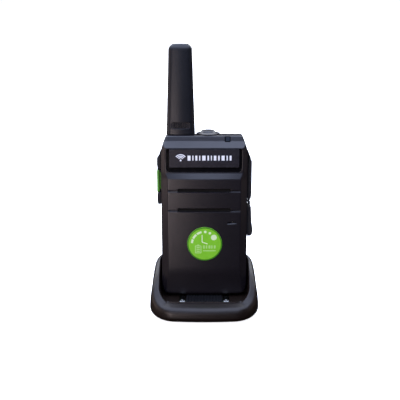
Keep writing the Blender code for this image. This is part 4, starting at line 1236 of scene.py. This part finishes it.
def makeContacts():
    line = smoothLine(contact["line"])
    under = []
    for i, point in enumerate(line):
        along = (line[min(i + 1, len(line) - 1)] - line[max(i - 1, 0)]).normalized()
        under.append(point + Vector((along.y, -along.x)) * contact["thickness"])
    for name, x in (("left", -contact["x"]), ("right", contact["x"])):
        leaf = prism(line + under[::-1], "X", x - contact["halfWidth"], x + contact["halfWidth"])
        softened(leaf, 0.12, 2, 50)
        carve(leaf, shifted(turned(contact["pip"]), (x, *contact["pipPlace"])), operation="UNION")
        finished(leaf, f"charge_contact_{name}_leaf", inRadio, f"charge_contact_{name}",
                 "nickelPlate", "nickel", [f"charge_contact_{name}"])


platform = {"halfWidth": 12.0, "front": -21.0, "rear": 9.0, "bottom": -0.9, "top": -0.65,
            "ribs": 12, "ribRadius": 0.55, "ribFlatness": 0.7}


def makePlatform():
    reach, front, rear, top = (platform[k] for k in ("halfWidth", "front", "rear", "top"))
    body = softened(block((-reach, front, platform["bottom"]), (reach, rear, top), 1.0), 0.12, 2)
    finished(body, "contact_platform_plate", inRadio, "cradle", "innerAbs", "inner_plastic",
             ["contact_platform"])
    ribs = grown(ribTree("innerAbs"), {
        "Count": platform["ribs"], "Reach": reach - 1.2, "Radius": platform["ribRadius"],
        "Length": rear - front - 1.4})
    flat = Matrix.Diagonal((1, 1, platform["ribFlatness"], 1))
    middle = Matrix.Translation((0, (rear + front) / 2, top))
    finished(moved(ribs, middle @ flat @ Matrix.Rotation(math.pi / 2, 4, "X")),
             "contact_platform_ribs", inRadio, "cradle", "innerAbs", "inner_plastic")


def makeCradleBase():
    base = softened(solidCopy("cradle_base", inCradle), 0.25, 2)
    finished(base, "cradle_base_plate", inCradle, "cradle", "satinMouldedAbs", "cradle",
             ["cradle_base"])
    jack = softened(solidCopy("cradle_power_jack", inCradle), 0.25, 2)
    finished(jack, "cradle_power_socket", inCradle, "cradle", "innerAbs", "inner_plastic",
             ["cradle_power_jack"])
    side = roundedLine([(0, 0.9, 0), (4.0, 0.9, 0), (4.0, 0.0, 0.5), (3.0, 0.0, 0.2),
                        (2.8, 0.25, 0.2), (0, 0.25, 0)], 4, closed=False)
    for n in range(1, 5):
        low, high = (inCradle.inverted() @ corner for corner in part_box(f"cradle_foot_{n}"))
        centre = (low + high) / 2
        foot = shifted(turned(side), (centre.x, centre.y, 0))
        finished(foot, f"cradle_foot_{n}_pad", inCradle, "cradle", "mattRubber", "key_rubber",
                 [f"cradle_foot_{n}"])


makeCradleShell()
makeContacts()
makePlatform()
makeCradleBase()
print("moulded the cradle")


# solids that stay as they are and take a finish

keptSolids = {
    "polishedAcrylic": ("name_plate_tray",),
    "mattRubber": ("microphone_boot",),
    "innerAbs": ("accessory_jack", "antenna_core"),
    "solderMask": ("main_board", "key_board", "battery_board", "cradle_board"),
    "tinnedSheet": ("shield_can", "speaker_frame", "microphone", "volume_switch", "talk_switch",
                    "side_switch_upper", "side_switch_lower"),
    "turnedBrass": ("antenna_coil", "antenna_terminal", "battery_contact_block", "knob_shaft"),
    "zincSteel": ("clip_pin", "clip_spring", "cradle_screw_1", "cradle_screw_2",
                  "housing_screw_1", "housing_screw_2"),
    "pressedPaper": ("speaker_cone", "speaker_felt"),
    "sinteredFerrite": ("speaker_magnet",),
    "shrinkFilm": ("battery_cell",),
}


def dressKeptSolids():
    for finish, names in keptSolids.items():
        for name in names:
            nodes[name].data.materials.clear()
            nodes[name].data.materials.append(finishes[finish])


dressKeptSolids()
shown = [name for name, node in nodes.items() if not node.hide_render]
print("solids still shown:", ", ".join(sorted(shown)))


# floor, light and camera

studio = {
    "floor": "f4f4f4",
    "floorGlow": 1.0,  # keeps the sweep white out to the horizon
    "sky": {"left": 0.2, "right": 0.03, "above": "e6ecff", "below": "ffcba6", "lowShare": 0.3},
    "lights": {
        # name: place, size (m), power (W), colour
        "overhead": ((-0.03, -0.08, 0.64), (0.95, 0.92), 13.0, "cfdcff"),
        "highFront": ((-0.10, -0.78, 0.46), (0.60, 0.30), 0.8, "bcd0ff"),
        "leftFront": ((-0.22, -0.52, 0.05), (0.20, 0.20), 1.2, "ffeae8"),
        "leftSide": ((-0.60, -0.05, 0.08), (0.40, 0.30), 0.7, "ffe4dc"),
        "rightSide": ((0.60, -0.10, 0.05), (0.40, 0.30), 0.16, "ffe6d8"),
        "rearLeft": ((-0.50, 0.50, 0.42), (0.40, 0.40), 3.0, "eef3ff"),
        "backdrop": ((0.0, 0.60, 0.62), (0.90, 0.40), 4.5, "eef3ff"),
        "rearRight": ((0.50, 0.50, 0.42), (0.40, 0.40), 3.0, "eef3ff"),
    },
    "aim": (0.0, 0.003, 0.08),
}
viewpoint = {
    "place": (0.0, -0.45455, 0.25560),
    "aim": (0.0, 0.0029, 0.080),
    "lens": 67.83,
    "shift": (-0.0105, -0.0229),
}


def pointed(thing, place, aim):
    thing.location = place
    thing.rotation_euler = (Vector(aim) - Vector(place)).to_track_quat("-Z", "Y").to_euler()


def makeFloor():
    mesh = bmesh.new()
    bmesh.ops.create_grid(mesh, x_segments=1, y_segments=1, size=6.0)
    floor = solidFrom(mesh, "floor", recalculate=False)
    paper = bpy.data.materials.new("paperFloor")
    paper.use_nodes = True
    look = {"Base Color": linear(studio["floor"]), "Roughness": 0.9, "Specular IOR Level": 0.0,
            "Emission Color": linear(studio["floor"]), "Emission Strength": studio["floorGlow"]}
    for socket, value in look.items():
        paper.node_tree.nodes["Principled BSDF"].inputs[socket].default_value = value
    floor.data.materials.append(paper)
    floor.visible_glossy = False
    floor.visible_diffuse = False


def makeSky():
    # the room: brighter to the left, cool from above, dim and warm from below
    world = bpy.data.worlds.new("studioWorld")
    world.use_nodes = True
    tree = world.node_tree
    tree.nodes.clear()
    sky = studio["sky"]
    way = addNode(tree, "ShaderNodeTexCoord").outputs["Generated"]
    toward = addNode(tree, "ShaderNodeSeparateXYZ", {"Vector": way}).outputs
    strength = addNode(tree, "ShaderNodeMapRange",
                       {"Value": toward["X"], "From Min": -0.9, "From Max": 0.6,
                        "To Min": sky["left"], "To Max": sky["right"]})
    lowness = addNode(tree, "ShaderNodeMapRange",
                      {"Value": toward["Z"], "From Min": -0.4, "From Max": 0.3,
                       "To Min": sky["lowShare"], "To Max": 1.0})
    level = addNode(tree, "ShaderNodeMath", {0: strength, 1: lowness}, operation="MULTIPLY")
    tint = addNode(tree, "ShaderNodeMix",
                   {0: lowness, 6: linear(sky["below"]), 7: linear(sky["above"])},
                   data_type="RGBA")
    dim = addNode(tree, "ShaderNodeBackground", {"Color": tint.outputs[2], "Strength": level})
    white = addNode(tree, "ShaderNodeBackground", {"Color": linear("ffffff"), "Strength": 1.0})
    seen = addNode(tree, "ShaderNodeLightPath").outputs["Is Camera Ray"]
    mixed = addNode(tree, "ShaderNodeMixShader", {0: seen, 1: dim, 2: white})
    addNode(tree, "ShaderNodeOutputWorld", {"Surface": mixed})
    bpy.context.scene.world = world


def makeLights():
    for name, (place, size, power, colour) in studio["lights"].items():
        lamp = bpy.data.lights.new(name, "AREA")
        lamp.shape = "RECTANGLE"
        lamp.size, lamp.size_y = size
        lamp.energy = power
        lamp.color = linear(colour)[:3]
        holder = bpy.data.objects.new(name, lamp)
        bpy.context.scene.collection.objects.link(holder)
        pointed(holder, place, studio["aim"])
        holder.visible_camera = False


def makeCamera():
    lens = bpy.data.cameras.new("camera")
    lens.lens = viewpoint["lens"]
    lens.sensor_width = 36.0
    lens.shift_x, lens.shift_y = viewpoint["shift"]
    lens.clip_start = 0.01
    camera = bpy.data.objects.new("camera", lens)
    bpy.context.scene.collection.objects.link(camera)
    pointed(camera, viewpoint["place"], viewpoint["aim"])
    bpy.context.scene.camera = camera
    bpy.context.scene.view_settings.view_transform = "Standard"


makeFloor()
makeSky()
makeLights()
makeCamera()
print("set the studio")
